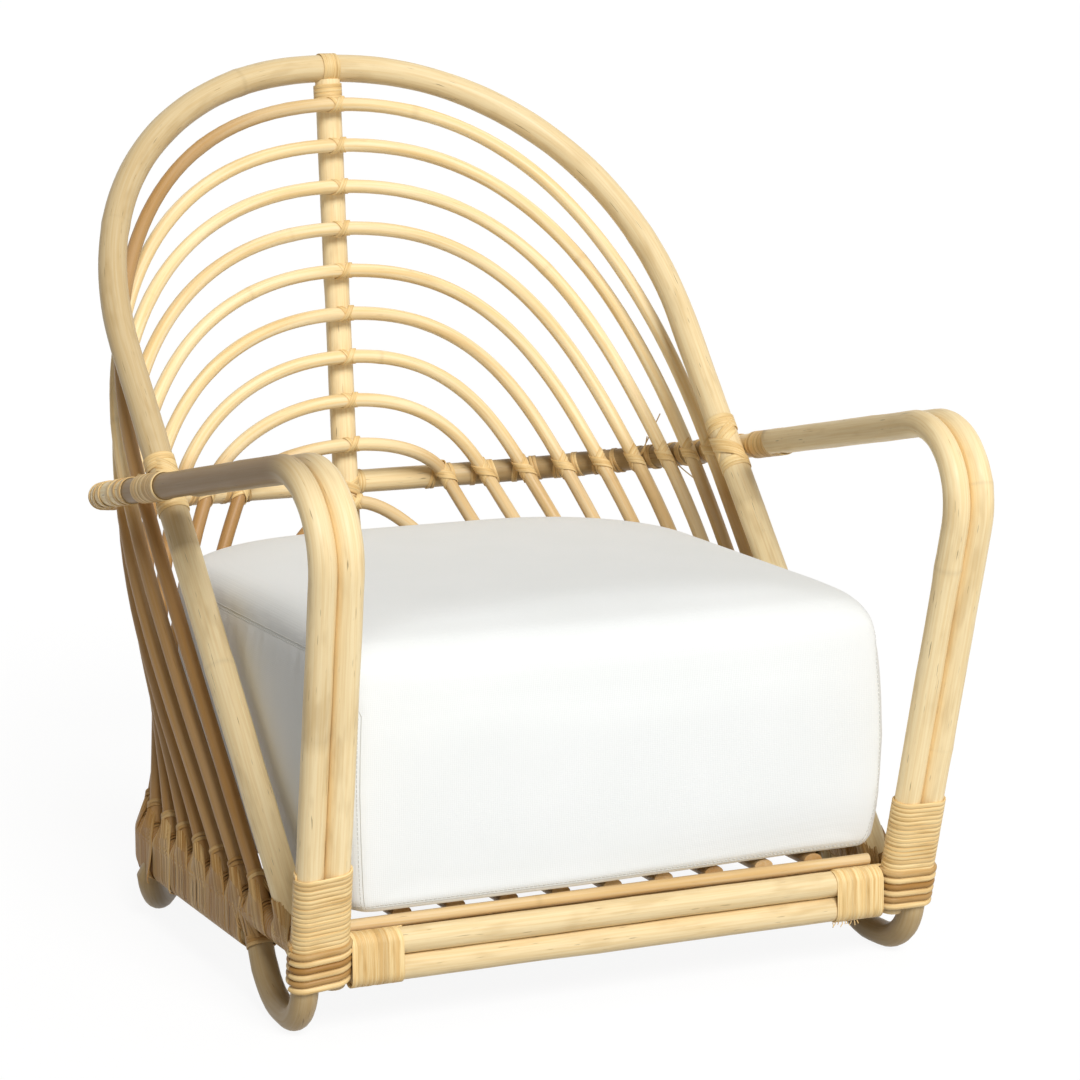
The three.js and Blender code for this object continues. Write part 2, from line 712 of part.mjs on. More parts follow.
function cushionOutline({ share, side, front, back }) {
  const height = cushionBase + share * cushionHeight;
  const halfWidth = cushionHalfWidth - side;
  const shape = new THREE.Shape();
  const frontRadius = Math.min(cushionFrontCorner, halfWidth / 2);
  const backRadius = Math.min(cushionBackCorner, halfWidth * 0.8);
  const frontEdge = cushionFront + front;
  const backEdge = cushionBack - back;
  shape.absarc(halfWidth - frontRadius, frontEdge + frontRadius, frontRadius, -Math.PI / 2, 0);
  shape.absarc(halfWidth - backRadius, backEdge - backRadius, backRadius, 0, Math.PI / 2);
  shape.absarc(backRadius - halfWidth, backEdge - backRadius, backRadius, Math.PI / 2, Math.PI);
  shape.absarc(frontRadius - halfWidth, frontEdge + frontRadius, frontRadius, Math.PI, 1.5 * Math.PI);
  shape.closePath();
  return shape.getSpacedPoints(cushionSides).slice(0, -1).map((point) => vec(point.x, point.y, height));
}

// Finishes
const finish = (name, color, roughness) => new THREE.MeshStandardMaterial({ name, color, roughness });
const rattanPole = finish('rattan pole', '#d8bd8a', 0.5);
const rattanRib = finish('rattan rib', '#dcb26c', 0.5);
const rattanBinding = finish('rattan binding', '#dcc593', 0.55);
const cottonCover = finish('cotton canvas', '#f1f1ee', 0.9);

const chair = new THREE.Group();
const frame = new THREE.Group();
const seat = new THREE.Group();
chair.add(frame, seat);

function add(group, name, geometry, material) {
  const mesh = new THREE.Mesh(geometry, material);
  mesh.name = name;
  group.add(mesh);
  return mesh;
}

function addPair(group, name, geometry, material) {
  add(group, `${name}_right`, geometry, material);
  add(group, `${name}_left`, mirrored(geometry), material);
}

const numbered = (name, number) => `${name}_${String(number + 1).padStart(2, '0')}`;

addPair(frame, 'arm_pole_outer', outerArmPole(), rattanPole);
addPair(frame, 'arm_pole_inner', innerArmPole(), rattanPole);
add(frame, 'back_crossbar', backCrossbar(), rattanPole);
add(frame, 'back_hoop', backHoop(hoopPole), rattanPole);
add(frame, 'back_spine', backSpine(), rattanPole);
for (let number = 0; number < ribCount; number += 1) {
  add(frame, numbered('back_rib', number), backRib(number), rattanRib);
}

add(frame, 'base_rail_lower', baseRail(lowerRailFront, lowerRailHeight), rattanPole);
add(frame, 'base_rail_upper', baseRail(sideRailFront, upperRailHeight), rattanPole);
add(frame, 'front_rail_lower', straightPole(frontRailHalfLength, 0, lowerRailHeight, railPole), rattanPole);
add(frame, 'front_rail_upper', straightPole(frontRailHalfLength, 0, upperRailHeight, railPole), rattanPole);
addPair(frame, 'rear_foot', rearFoot(), rattanPole);

addPair(frame, 'side_rail_binding', sideBinding(), rattanBinding);
addPair(frame, 'front_side_binding', frontSideBinding(), rattanBinding);
add(frame, 'rear_rail_binding', rearBinding(), rattanBinding);
addPair(frame, 'corner_binding', bindingOnPost('corner_binding', cornerStrand, 0), rattanBinding);
const postBinding = bindingOnPost('post_binding', postStrand, cornerBindingRise + seatGap);
addPair(frame, 'post_binding', postBinding, rattanBinding);
addPair(frame, 'front_rail_binding', frontRailBinding(), rattanBinding);
addPair(frame, 'arm_binding', armBinding(), rattanBinding);
add(frame, 'crown_binding', crownBinding(), rattanBinding);

add(frame, 'front_strip', straightPole(frontRailHalfLength, stripDepth, stripHeight, stripPole), rattanRib);
const frontLedger = straightPole(frontRailHalfLength, frontLedgerDepth, ledgerHeight, ledgerPole);
add(frame, 'slat_ledger_front', frontLedger, rattanPole);
const rearLedger = straightPole(rearLedgerHalfLength(), rearLedgerDepth, ledgerHeight, ledgerPole);
add(frame, 'slat_ledger_rear', rearLedger, rattanPole);
for (let number = 0; number < slatCount; number += 1) {
  const slat = add(frame, numbered('seat_slat', number), seatSlat(), rattanRib);
  slat.position.set((number - (slatCount - 1) / 2) * slatPitch, 0, slatUnderside + slatThickness / 2);
}

add(seat, 'seat_cushion', loft(cushionRings.map(cushionOutline)), cottonCover);

// The origin goes under the middle of the whole chair
const box = new THREE.Box3().setFromObject(chair);
chair.position.set(0, -(box.min.y + box.max.y) / 2, -box.min.z);

export default chair;
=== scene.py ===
import random
from math import acos, ceil, copysign, cos, exp, hypot, pi, radians, sin, sqrt, tan
from types import SimpleNamespace as Sizes

import bmesh
import bpy
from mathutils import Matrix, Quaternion, Vector, noise
from mathutils.bvhtree import BVHTree
from mathutils.kdtree import KDTree


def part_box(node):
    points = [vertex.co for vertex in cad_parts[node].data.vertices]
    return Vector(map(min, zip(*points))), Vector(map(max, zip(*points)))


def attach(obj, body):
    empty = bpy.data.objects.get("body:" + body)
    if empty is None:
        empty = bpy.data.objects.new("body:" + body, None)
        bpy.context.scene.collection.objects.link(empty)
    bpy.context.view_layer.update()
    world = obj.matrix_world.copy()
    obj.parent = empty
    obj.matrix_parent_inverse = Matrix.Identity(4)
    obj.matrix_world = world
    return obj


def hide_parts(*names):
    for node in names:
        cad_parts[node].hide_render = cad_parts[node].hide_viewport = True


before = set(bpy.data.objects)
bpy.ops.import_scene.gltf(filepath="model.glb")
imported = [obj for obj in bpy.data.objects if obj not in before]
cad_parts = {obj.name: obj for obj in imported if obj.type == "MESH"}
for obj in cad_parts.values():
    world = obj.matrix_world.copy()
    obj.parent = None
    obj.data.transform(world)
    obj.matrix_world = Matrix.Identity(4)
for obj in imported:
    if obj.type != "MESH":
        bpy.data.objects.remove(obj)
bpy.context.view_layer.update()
railLow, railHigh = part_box("front_rail_lower")
frontDepth = (railLow.y + railHigh.y) / 2  # routes below count their depth from the front rails, in mm
mm = 0.001
sides = {"right": 1, "left": -1}
dice = random.Random(41)
print("frame loaded")


def clamp(value):
    return min(max(value, 0), 1)


def mix(a, b, share):
    return a + (b - a) * share


def chance(most):
    return most * dice.random()


def newObject(name, data):
    thing = bpy.data.objects.new(name, data)
    bpy.context.scene.collection.objects.link(thing)
    return thing


def plug(tree, node, links):
    for socket, value in links.items():
        if isinstance(value, bpy.types.NodeSocket):
            tree.links.new(value, node.inputs[socket])
        else:
            node.inputs[socket].default_value = value


def addNode(tree, kind, links=None, **settings):
    node = tree.nodes.new(kind)
    for name, value in settings.items():
        setattr(node, name, value)
    plug(tree, node, links or {})
    return node


def made(tree, kind, links=None, **settings):
    return addNode(tree, kind, links, **settings).outputs[0]


def reckon(tree, operation, *values):
    return made(tree, "ShaderNodeMath", dict(enumerate(values)), operation=operation)


def hexColour(text):
    channels = [int(text[i:i + 2], 16) / 255 for i in (1, 3, 5)]
    linear = [c / 12.92 if c <= 0.04045 else ((c + 0.055) / 1.055) ** 2.4 for c in channels]
    return (*linear, 1)


def tint(tree, factor, below, above):
    ends = [hexColour(value) if isinstance(value, str) else value for value in (below, above)]
    links = {"Factor": factor, 6: ends[0], 7: ends[1]}  # the colour sockets share their names with others
    return addNode(tree, "ShaderNodeMix", links, data_type="RGBA").outputs[2]


def blankMaterial(name):
    material = bpy.data.materials.new(name)
    material.use_nodes = True
    tree = material.node_tree
    tree.nodes.clear()
    surface = addNode(tree, "ShaderNodeBsdfPrincipled")
    addNode(tree, "ShaderNodeOutputMaterial", {"Surface": surface.outputs["BSDF"]})
    return material, tree, surface


def rattanFinish(name, colours, streak, patch, weather, tones, specks, knots, rough, relief, varnish):
    # Rattan shows long fibre streaks, weathered patches, short dark specks and a ring at each growth joint.
    material, tree, surface = blankMaterial(name)
    grain, tone, knot = [addNode(tree, "ShaderNodeAttribute", attribute_name=label).outputs
                         for label in ("grain", "tone", "knot")]

    def fibre(length, width, detail):  # noise drawn out along the pole, sizes in mm
        stretch = (1000 / length, 1000 / width, 1000 / width)
        spot = made(tree, "ShaderNodeMapping", {"Vector": grain["Vector"], "Scale": stretch})
        links = {"Vector": spot, "Scale": 1.0, "Detail": detail, "Roughness": 0.6}
        return addNode(tree, "ShaderNodeTexNoise", links).outputs["Fac"]

    def band(value, low, high, reach):
        links = {"Value": value, "From Min": low, "From Max": high, "To Min": 0.0, "To Max": reach}
        return made(tree, "ShaderNodeMapRange", links, interpolation_type="SMOOTHSTEP")

    # The tone attribute draws the colour towards the warm one: random tone on most poles, painted shade where
    # the pole tones are set darker
    pale, darker, weathered, warm, dark = colours.split()
    streaks = fibre(*streak)
    colour = tint(tree, band(streaks, 0.32, 0.7, 1.0), pale, darker)
    for value, low, high, reach, shade in ((fibre(*patch), 0.5, 0.72, weather, weathered),
                                           (tone["Fac"], 0.0, 1.0, tones, warm),
                                           (fibre(26, 1.5, 1.0), 0.7, 0.78, specks, dark),
                                           (knot["Fac"], 0.55, 1.0, knots, dark)):
        colour = tint(tree, band(value, low, high, reach), colour, shade)
    roughness = {"Value": streaks, "To Min": rough - 0.07, "To Max": rough + 0.09}
    bump = {"Height": streaks, "Strength": 0.14, "Distance": relief * mm}
    plug(tree, surface, {
        "Base Color": colour, "Roughness": made(tree, "ShaderNodeMapRange", roughness),
        "Normal": made(tree, "ShaderNodeBump", bump), "Specular IOR Level": 0.22, "Coat Weight": varnish,
        "Coat Roughness": 0.3})
    return material


# Colours: pale, fibre, weathered, warm and dark (the warm colour, drawn in by the tone, also paints shade);
# streaks and patches: length, width and detail
peeledPole = rattanFinish(
    "peeled rattan pole", "#ffeabb #f6dba6 #c9a870 #7f5f31 #5e4423", (90, 2.0, 2.0), (60, 15, 2.0),
    weather=0.3, tones=0.9, specks=0.6, knots=0.1, rough=0.45, relief=0.2, varnish=0.06)
honeyRib = rattanFinish(
    "peeled rattan rib", "#fde8bb #f5d79d #d6ab66 #9d6c2e #6a451a", (120, 3.0, 1.0), (180, 14, 2.0),
    weather=0.35, tones=0.85, specks=0.25, knots=0.12, rough=0.45, relief=0.12, varnish=0.05)
peelStrand = rattanFinish(
    "rattan peel strand", "#f6dca4 #e9c485 #c0954f #98692a #5f411a", (45, 1.2, 1.0), (60, 9, 2.0),
    weather=0.5, tones=0.9, specks=0.25, knots=0.0, rough=0.48, relief=0.12, varnish=0.03)


def canvasFinish(name, white, shadeWhite, thread, cloud):
    # Plain-woven cotton canvas: matt, a faint thread relief and soft uneven whites.
    material, tree, surface = blankMaterial(name)
    spot = addNode(tree, "ShaderNodeTexCoord").outputs["Object"]
    threads = []
    for axis in ("X", "Y", "Z"):  # the real thread is about 0.6 mm; drawn coarser so that it shows
        links = {"Vector": spot, "Scale": 2 * pi / (20 * thread * mm), "Distortion": 1.2,
                 "Detail": 1.0, "Detail Scale": 2.0}
        wave = addNode(tree, "ShaderNodeTexWave", links, wave_type="BANDS", bands_direction=axis)
        threads.append(wave.outputs["Fac"])
    weave = reckon(tree, "ADD", reckon(tree, "ADD", *threads[:2]), threads[2])
    clouds = addNode(tree, "ShaderNodeTexNoise", {"Vector": spot, "Scale": 1000 / cloud, "Detail": 3.0})
    bump = {"Height": weave, "Strength": 0.16, "Distance": 0.25 * mm}
    plug(tree, surface, {
        "Base Color": tint(tree, clouds.outputs["Fac"], white, shadeWhite),
        "Normal": made(tree, "ShaderNodeBump", bump), "Roughness": 0.92, "Sheen Weight": 0.12,
        "Sheen Roughness": 0.5})
    return material


cottonCanvas = canvasFinish("cotton canvas", "#f2f4f4", "#ecefee", thread=1.9, cloud=90)
cottonThread = canvasFinish("cotton thread", "#d6d6d1", "#c8c8c2", thread=1.2, cloud=40)
print("finishes made")


def named(tree, name, kind="FLOAT"):
    return made(tree, "GeometryNodeInputNamedAttribute", {"Name": name}, data_type=kind)


def store(tree, geometry, name, value, kind="FLOAT"):
    links = {"Geometry": geometry, "Name": name, "Value": value}
    return made(tree, "GeometryNodeStoreNamedAttribute", links, data_type=kind)


def scaled(tree, vector, factor):
    return made(tree, "ShaderNodeVectorMath", {0: vector, "Scale": factor}, operation="SCALE")


def newTree(name, *labels):
    tree = bpy.data.node_groups.new(name, "GeometryNodeTree")
    kinds = {"Geometry": "NodeSocketGeometry", "Sides": "NodeSocketInt", "Material": "NodeSocketMaterial"}
    for label in ("Geometry", *labels, "Material"):
        tree.interface.new_socket(label, in_out="INPUT", socket_type=kinds.get(label, "NodeSocketFloat"))
    tree.interface.new_socket("Geometry", in_out="OUTPUT", socket_type=kinds["Geometry"])
    given = addNode(tree, "NodeGroupInput").outputs
    route = made(tree, "GeometryNodeMeshToCurve", {"Mesh": given["Geometry"]})
    faced = {"Curve": route, "Normal": named(tree, "outward", "FLOAT_VECTOR")}
    return tree, given, made(tree, "GeometryNodeSetCurveNormal", faced, mode="FREE")


def endTree(tree, given, geometry):
    real = made(tree, "GeometryNodeRealizeInstances", {"Geometry": geometry})
    smooth = made(tree, "GeometryNodeSetShadeSmooth", {"Geometry": real})
    finished = made(tree, "GeometryNodeSetMaterial", {"Geometry": smooth, "Material": given["Material"]})
    addNode(tree, "NodeGroupOutput", {"Geometry": finished})
    return tree


def sweptGrain(tree, curve, profile, start, **scale):
    links = {"Curve": curve, "Profile Curve": profile, "Fill Caps": True, **scale}
    ring = named(tree, "section", "FLOAT_VECTOR")
    parts = addNode(tree, "ShaderNodeSeparateXYZ", {"Vector": ring}).outputs
    run = reckon(tree, "ADD", named(tree, "run"), start)
    grain = made(tree, "ShaderNodeCombineXYZ", {"X": run, "Y": parts[0], "Z": parts[1]})
    return store(tree, made(tree, "GeometryNodeCurveToMesh", links), "grain", grain, "FLOAT_VECTOR")


def buildPoleTree():
    tree, given, curve = newTree("rattanPole", "Radius", "Flatness", "Sides", "Knot Spacing", "Knot Swell",
                                 "Unevenness", "Wander", "Start")
    length = addNode(tree, "GeometryNodeSplineParameter").outputs["Length"]
    run = reckon(tree, "ADD", length, given["Start"])
    swell = addNode(tree, "ShaderNodeTexNoise", {"W": reckon(tree, "MULTIPLY", run, 11.0), "Scale": 1.0,
                                                 "Detail": 2.0}, noise_dimensions="1D")
    uneven = made(tree, "ShaderNodeMapRange", {
        "Value": swell.outputs["Fac"], "From Min": 0.25, "From Max": 0.75,
        "To Min": reckon(tree, "SUBTRACT", 1.0, given["Unevenness"]),
        "To Max": reckon(tree, "ADD", 1.0, given["Unevenness"])})
    phase = reckon(tree, "FRACT", reckon(tree, "DIVIDE", run, given["Knot Spacing"]))
    far = reckon(tree, "ABSOLUTE", reckon(tree, "SUBTRACT", phase, 0.5))
    reach = reckon(tree, "MULTIPLY", far, given["Knot Spacing"])
    links = {"Value": reach, "From Min": 0.0, "From Max": 7 * mm, "To Min": 1.0, "To Max": 0.0}
    knot = made(tree, "ShaderNodeMapRange", links, interpolation_type="SMOOTHSTEP")
    ring = reckon(tree, "MULTIPLY_ADD", knot, given["Knot Swell"], 1.0)
    radius = reckon(tree, "MULTIPLY", reckon(tree, "MULTIPLY", uneven, ring), given["Radius"])
    place = made(tree, "GeometryNodeInputPosition")
    links = {"Vector": place, "W": given["Start"], "Scale": 6.0, "Detail": 0.0}
    shove = addNode(tree, "ShaderNodeTexNoise", links, noise_dimensions="4D")
    centred = made(tree, "ShaderNodeVectorMath", {0: shove.outputs["Color"], 1: (0.5, 0.5, 0.5)},
                   operation="SUBTRACT")
    drift = scaled(tree, centred, given["Wander"])
    moved = made(tree, "GeometryNodeSetPosition", {"Geometry": curve, "Offset": drift})
    marked = store(tree, store(tree, moved, "run", length), "knot", knot)
    circle = made(tree, "GeometryNodeCurvePrimitiveCircle", {"Resolution": given["Sides"], "Radius": 1.0})
    section = store(tree, circle, "section", scaled(tree, place, given["Radius"]), "FLOAT_VECTOR")
    press = made(tree, "ShaderNodeCombineXYZ", {"X": given["Flatness"], "Y": 1.0, "Z": 1.0})
    profile = made(tree, "GeometryNodeTransform", {"Geometry": section, "Scale": press})
    return endTree(tree, given, sweptGrain(tree, marked, profile, given["Start"], Scale=radius))


def buildStrandTree():
    tree, given, curve = newTree("wovenStrand", "Width", "Thickness", "Rounding")
    length = addNode(tree, "GeometryNodeSplineParameter").outputs["Length"]
    flat = made(tree, "GeometryNodeCurvePrimitiveQuadrilateral", {"Width": given["Thickness"],
                                                                  "Height": given["Width"]})
    rounded = made(tree, "GeometryNodeFilletCurve", {"Curve": flat, "Radius": given["Rounding"],
                                                     "Limit Radius": True}, mode="POLY")
    profile = store(tree, rounded, "section", made(tree, "GeometryNodeInputPosition"), "FLOAT_VECTOR")
    start = reckon(tree, "MULTIPLY", named(tree, "tone"), 9.0)
    return endTree(tree, given, sweptGrain(tree, store(tree, curve, "run", length), profile, start))


def buildStitchTree():
    tree, given, curve = newTree("stitchRow", "Pitch", "Length", "Thread")
    spacing = {"Curve": curve, "Length": given["Pitch"]}
    spots = addNode(tree, "GeometryNodeCurveToPoints", spacing, mode="LENGTH")
    half = reckon(tree, "MULTIPLY", given["Length"], 0.5)
    back = reckon(tree, "MULTIPLY", half, -1.0)
    arc = {"Resolution": 4}
    for label, axis, reach in (("Start", "Z", back), ("Middle", "X", given["Thread"]), ("End", "Z", half)):
        arc[label] = made(tree, "ShaderNodeCombineXYZ", {axis: reach})
    ring = made(tree, "GeometryNodeCurvePrimitiveCircle", {"Resolution": 5, "Radius": given["Thread"]})
    bow = made(tree, "GeometryNodeCurveQuadraticBezier", arc)
    stitch = made(tree, "GeometryNodeCurveToMesh", {"Curve": bow, "Profile Curve": ring, "Fill Caps": True})
    row = {"Points": spots.outputs["Points"], "Rotation": spots.outputs["Rotation"], "Instance": stitch}
    return endTree(tree, given, made(tree, "GeometryNodeInstanceOnPoints", row))


poleTree = buildPoleTree()
strandTree = buildStrandTree()
stitchTree = buildStitchTree()


def inFrame(point):
    return Vector((point.x * mm, point.y * mm + frontDepth, point.z * mm))


def flip(points, side):
    return [Vector((p.x * side, p.y, p.z)) for p in points]


def tangentsOf(points, closed=False):
    last = len(points) - 1
    result = []
    for i, point in enumerate(points):
        ahead = points[(i + 1) % (last + 1)] if closed else points[min(i + 1, last)]
        behind = points[i - 1] if closed else points[max(i - 1, 0)]
        onward = (ahead - point).normalized() + (point - behind).normalized()
        result.append(onward.normalized())
    return result


def squareTo(vector, axis):
    return (vector - axis * vector.dot(axis)).normalized()


def carried(points, start):
    tangents = tangentsOf(points)
    result = [squareTo(start, tangents[0])]
    for before, after in zip(tangents, tangents[1:]):
        result.append(squareTo(before.rotation_difference(after) @ result[-1], after))
    return result


def layRun(runs, laid, tone, closed=False, side=1):  # laid: each point with what is outward there
    points, outward = [flip(vectors, side) for vectors in zip(*laid)]
    square = [squareTo(*pair) for pair in zip(outward, tangentsOf(points, closed))]
    runs.append({"points": [inFrame(p) for p in points], "outward": square, "tone": tone, "closed": closed})


def runMesh(name, runs):
    points = []
    edges = []
    outward = []
    tones = []
    for run in runs:
        first = len(points)
        count = len(run["points"])
        points += run["points"]
        outward += run["outward"]
        tones += run["tone"] if isinstance(run["tone"], list) else [run["tone"]] * count
        edges += [(first + i, first + i + 1) for i in range(count - 1)]
        if run["closed"]:
            edges.append((first + count - 1, first))
    mesh = bpy.data.meshes.new(name)
    mesh.from_pydata(points, edges, [])
    facing = mesh.attributes.new("outward", "FLOAT_VECTOR", "POINT")
    facing.data.foreach_set("vector", [c for o in outward for c in o])
    shade = mesh.attributes.new("tone", "FLOAT", "POINT")
    shade.data.foreach_set("value", tones)
    return mesh


def grown(name, mesh, tree, values):
    piece = newObject(name, mesh)
    modifier = piece.modifiers.new("growth", "NODES")
    modifier.node_group = tree
    for item in tree.interface.items_tree:
        if item.in_out == "INPUT" and item.name in values:
            modifier[item.identifier] = values[item.name]
    graph = bpy.context.evaluated_depsgraph_get()
    baked = bpy.data.meshes.new_from_object(piece.evaluated_get(graph), preserve_all_data_layers=True,
                                            depsgraph=graph)
    piece.modifiers.remove(modifier)
    piece.data = baked
    baked.name = name
    return piece


def strandPiece(name, runs, width, thickness, nodes=(), rounding=0.34):
    values = {"Width": width * mm, "Thickness": thickness * mm, "Rounding": rounding * thickness * mm,
              "Material": peelStrand}
    piece = grown(name, runMesh(name, runs), strandTree, values)
    if nodes:
        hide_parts(*nodes)
    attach(piece, "frame")


# Routes of the poles, repeated from the solids' own sizes
baseSizes = Sizes(
    halfWidth=316, depth=582, corner=140, underside=50, pole=25, front=28, wrap=2, pastCorner=12, gap=0.3)
armSizes = Sizes(
    pole=26, lean=radians(12.6), slope=radians(11.25), postOutside=9, frontHalfWidth=341,
    bend=75, innerFoot=53, innerEnd=74, splice=24)
footSizes = Sizes(frontBend=50, rearBend=80, flat=16, alongCorner=75, letIn=15)
hoopSizes = Sizes(
    pole=30, lean=radians(42.1), footDepth=62, footInside=4, halfWidth=319, top=857, rise=358,
    fullness=2.12, letIn=16)
loopSizes = Sizes(height=463, depth=726, straight=84)
ribSizes = Sizes(
    pole=15, spine=28, count=10, belowHoop=38, aboveLoop=50, lowBelowLoop=14, growth=0.05, firstFoot=128,
    footPitch=53.5, firstTie=57, tiePitch=49.5, spineBendBelow=60, spineBend=150)
deckSizes = Sizes(
    ledger=20, ledgerHeight=91, rearLedger=540, pastLedger=12, slatWidth=20, slatThickness=14, slats=9,
    endInset=58.6, strip=12, stripDepth=14.5)

up = Vector((0, 0, 1))
acrossX = Vector((1, 0, 0))
gap = baseSizes.gap
facet = cos(pi / 8)
lowRail = baseSizes.underside + baseSizes.pole / 2
highRail = lowRail + baseSizes.pole + gap
railMiddle = (lowRail + highRail) / 2
wrapReach = baseSizes.pole / 2 * facet + gap + baseSizes.wrap
wrapTop = highRail + wrapReach + gap
wrapUnder = lowRail - wrapReach
postHalfWidth = baseSizes.halfWidth + armSizes.postOutside
hoopFoot = baseSizes.halfWidth - hoopSizes.footInside
leanSlope = tan(armSizes.lean)
hoopSlope = tan(hoopSizes.lean)
armFall = tan(armSizes.slope)
hoopSpring = (hoopSizes.top - wrapTop) / cos(hoopSizes.lean) - hoopSizes.rise
loopDepthAtHoop = hoopSizes.footDepth + hoopSlope * (loopSizes.height - wrapTop)
shareUpLeg = (loopSizes.height - wrapTop) / (hoopSpring * cos(hoopSizes.lean))
hoopAtArm = hoopFoot + (hoopSizes.halfWidth - hoopFoot) * shareUpLeg
armHalfWidth = hoopAtArm + (hoopSizes.pole + armSizes.pole) / 2 + gap
cornerTop = loopSizes.height + armFall * loopDepthAtHoop - armFall * leanSlope * railMiddle
armCorner = cornerTop / (1 - armFall * leanSlope)
armSplice = loopDepthAtHoop + armSizes.splice
loopBend = (loopSizes.depth - loopDepthAtHoop) / cos(armSizes.slope) - loopSizes.straight
polePitch = armSizes.pole + gap


def postDepth(height):
    return -leanSlope * (height - railMiddle)


def postX(height):
    return mix(postHalfWidth, armSizes.frontHalfWidth, (height - railMiddle) / (armCorner - railMiddle))


def loopHeight(depth):
    return loopSizes.height - armFall * (depth - loopDepthAtHoop)


def bent(corners, radii, step=radians(4)):
    path = [corners[0].copy()]
    for before, corner, after, radius in zip(corners, corners[1:], corners[2:], radii):
        back = (before - corner).normalized()
        ahead = (after - corner).normalized()
        half = back.angle(ahead) / 2
        centre = corner + (back + ahead).normalized() * radius / sin(half)
        spoke = corner + back * radius / tan(half) - centre
        axis = back.cross(spoke).normalized()
        sweep = pi - 2 * half
        steps = max(2, ceil(sweep / step))
        path += [Quaternion(axis, sweep * j / steps) @ spoke + centre for j in range(steps + 1)]
    path.append(corners[-1].copy())
    return path


def filled(path, longest=14):
    result = [path[0]]
    for before, after in zip(path, path[1:]):
        steps = max(1, ceil((after - before).length / longest))
        result += [before.lerp(after, j / steps) for j in range(1, steps + 1)]
    return [p for i, p in enumerate(result) if i == 0 or (p - result[i - 1]).length > 0.05]


def footBend(radius, reach, steps=10):
    rest = armSizes.pole / 2 * facet
    angles = [reach * i / steps for i in range(steps + 1)]
    return [(radius * sin(a), rest + radius * (1 - cos(a))) for a in angles]


def reachTo(height):
    rest = armSizes.pole / 2 * facet
    return acos((rest + footSizes.rearBend - height) / footSizes.rearBend)


# The front foot's rear leg stands in front of the lower rail's end and goes up into the wrapped upper rail
frontBend = footBend(footSizes.frontBend, pi / 2 - armSizes.lean)
legReach = reachTo(highRail - wrapReach)
legBend = footBend(footSizes.rearBend, legReach)
flatFront = postDepth(frontBend[-1][1]) + frontBend[-1][0]
legDepth = flatFront + footSizes.flat + legBend[-1][0]
lowRailFront = legDepth + armSizes.pole / 2 / sin(legReach) + gap


def armOuterRoute():
    bendLength = frontBend[-1][0]
    length = bendLength + footSizes.flat + legBend[-1][0]

    def footPoint(depth, height):
        share = (depth - flatFront + bendLength) / length
        return Vector((mix(postX(frontBend[-1][1]), baseSizes.halfWidth, share), depth, height))

    foot = [footPoint(flatFront + footSizes.flat + a, h) for a, h in reversed(legBend)]
    foot.insert(0, foot[0] + up * footSizes.letIn)
    foot += [footPoint(flatFront - a, h) for a, h in frontBend]
    corner = Vector((armSizes.frontHalfWidth, postDepth(armCorner), armCorner))
    arm = bent([foot[-1], corner, Vector((armHalfWidth, armSplice, loopHeight(armSplice)))], [armSizes.bend])
    return filled(foot + arm[1:])


def armInnerRoute():
    end = loopDepthAtHoop - armSizes.innerEnd
    share = (end - postDepth(armCorner)) / (armSplice - postDepth(armCorner))
    endHalfWidth = mix(armSizes.frontHalfWidth, armHalfWidth, share)
    foot = armSizes.innerFoot
    return filled(bent([
        Vector((postX(foot) - polePitch, postDepth(foot), foot)),
        Vector((armSizes.frontHalfWidth - polePitch, postDepth(armCorner), armCorner)),
        Vector((endHalfWidth - polePitch, end, loopHeight(end)))], [armSizes.bend]))


def hoopPoint(x, along):
    return Vector((x, hoopSizes.footDepth + along * sin(hoopSizes.lean),
                   wrapTop + along * cos(hoopSizes.lean)))


def hoopRoute():
    arch = []
    for i in range(97):
        angle = pi * i / 96
        across = copysign(abs(cos(angle)) ** (2 / hoopSizes.fullness), cos(angle))
        rise = sin(angle) ** (2 / hoopSizes.fullness) if 0 < i < 96 else 0
        arch.append(hoopPoint(hoopSizes.halfWidth * across, hoopSpring + hoopSizes.rise * rise))
    return filled([hoopPoint(hoopFoot, 0), *arch, hoopPoint(-hoopFoot, 0)])


def onLoop(distance, inset):
    angle = max(distance - loopSizes.straight, 0) / loopBend
    radius = loopBend - inset
    along = min(distance, loopSizes.straight) + radius * sin(angle)
    slope = armSizes.slope
    place = Vector((armHalfWidth - loopBend + radius * cos(angle),
                    loopDepthAtHoop + along * cos(slope), loopSizes.height - along * sin(slope)))
    slopeBack = Vector((0, cos(slope), -sin(slope)))
    inward = acrossX * -cos(angle) - slopeBack * sin(angle)
    return place, inward


def crossbarRoute():
    end = loopSizes.straight + loopBend * pi / 2
    front = Vector((armHalfWidth, armSplice + gap, loopHeight(armSplice + gap)))
    bendPoints = [onLoop(mix(loopSizes.straight, end, i / 30), 0)[0] for i in range(31)]
    half = [front, *bendPoints]
    return filled(half + flip(half, -1)[::-1])


loopBack = loopHeight(loopSizes.depth)
spineTop = Vector((0, hoopSizes.footDepth + hoopSlope * (hoopSizes.top - wrapTop), hoopSizes.top))
spineAtLoop = Vector((0, loopSizes.depth - (armSizes.pole + ribSizes.spine) / 2 - gap, loopBack))
spineLean = (spineTop - spineAtLoop).normalized()


def spinePoint(height):
    return spineAtLoop + spineLean * ((height - loopBack) / spineLean.z)


def spineRoute():
    top = spineTop - spineLean * (hoopSizes.pole / 2 - 3)
    low = spinePoint(loopBack - ribSizes.spineBendBelow)
    return filled(bent([top, low, Vector((0, baseSizes.depth, wrapTop - 6))], [ribSizes.spineBend]))


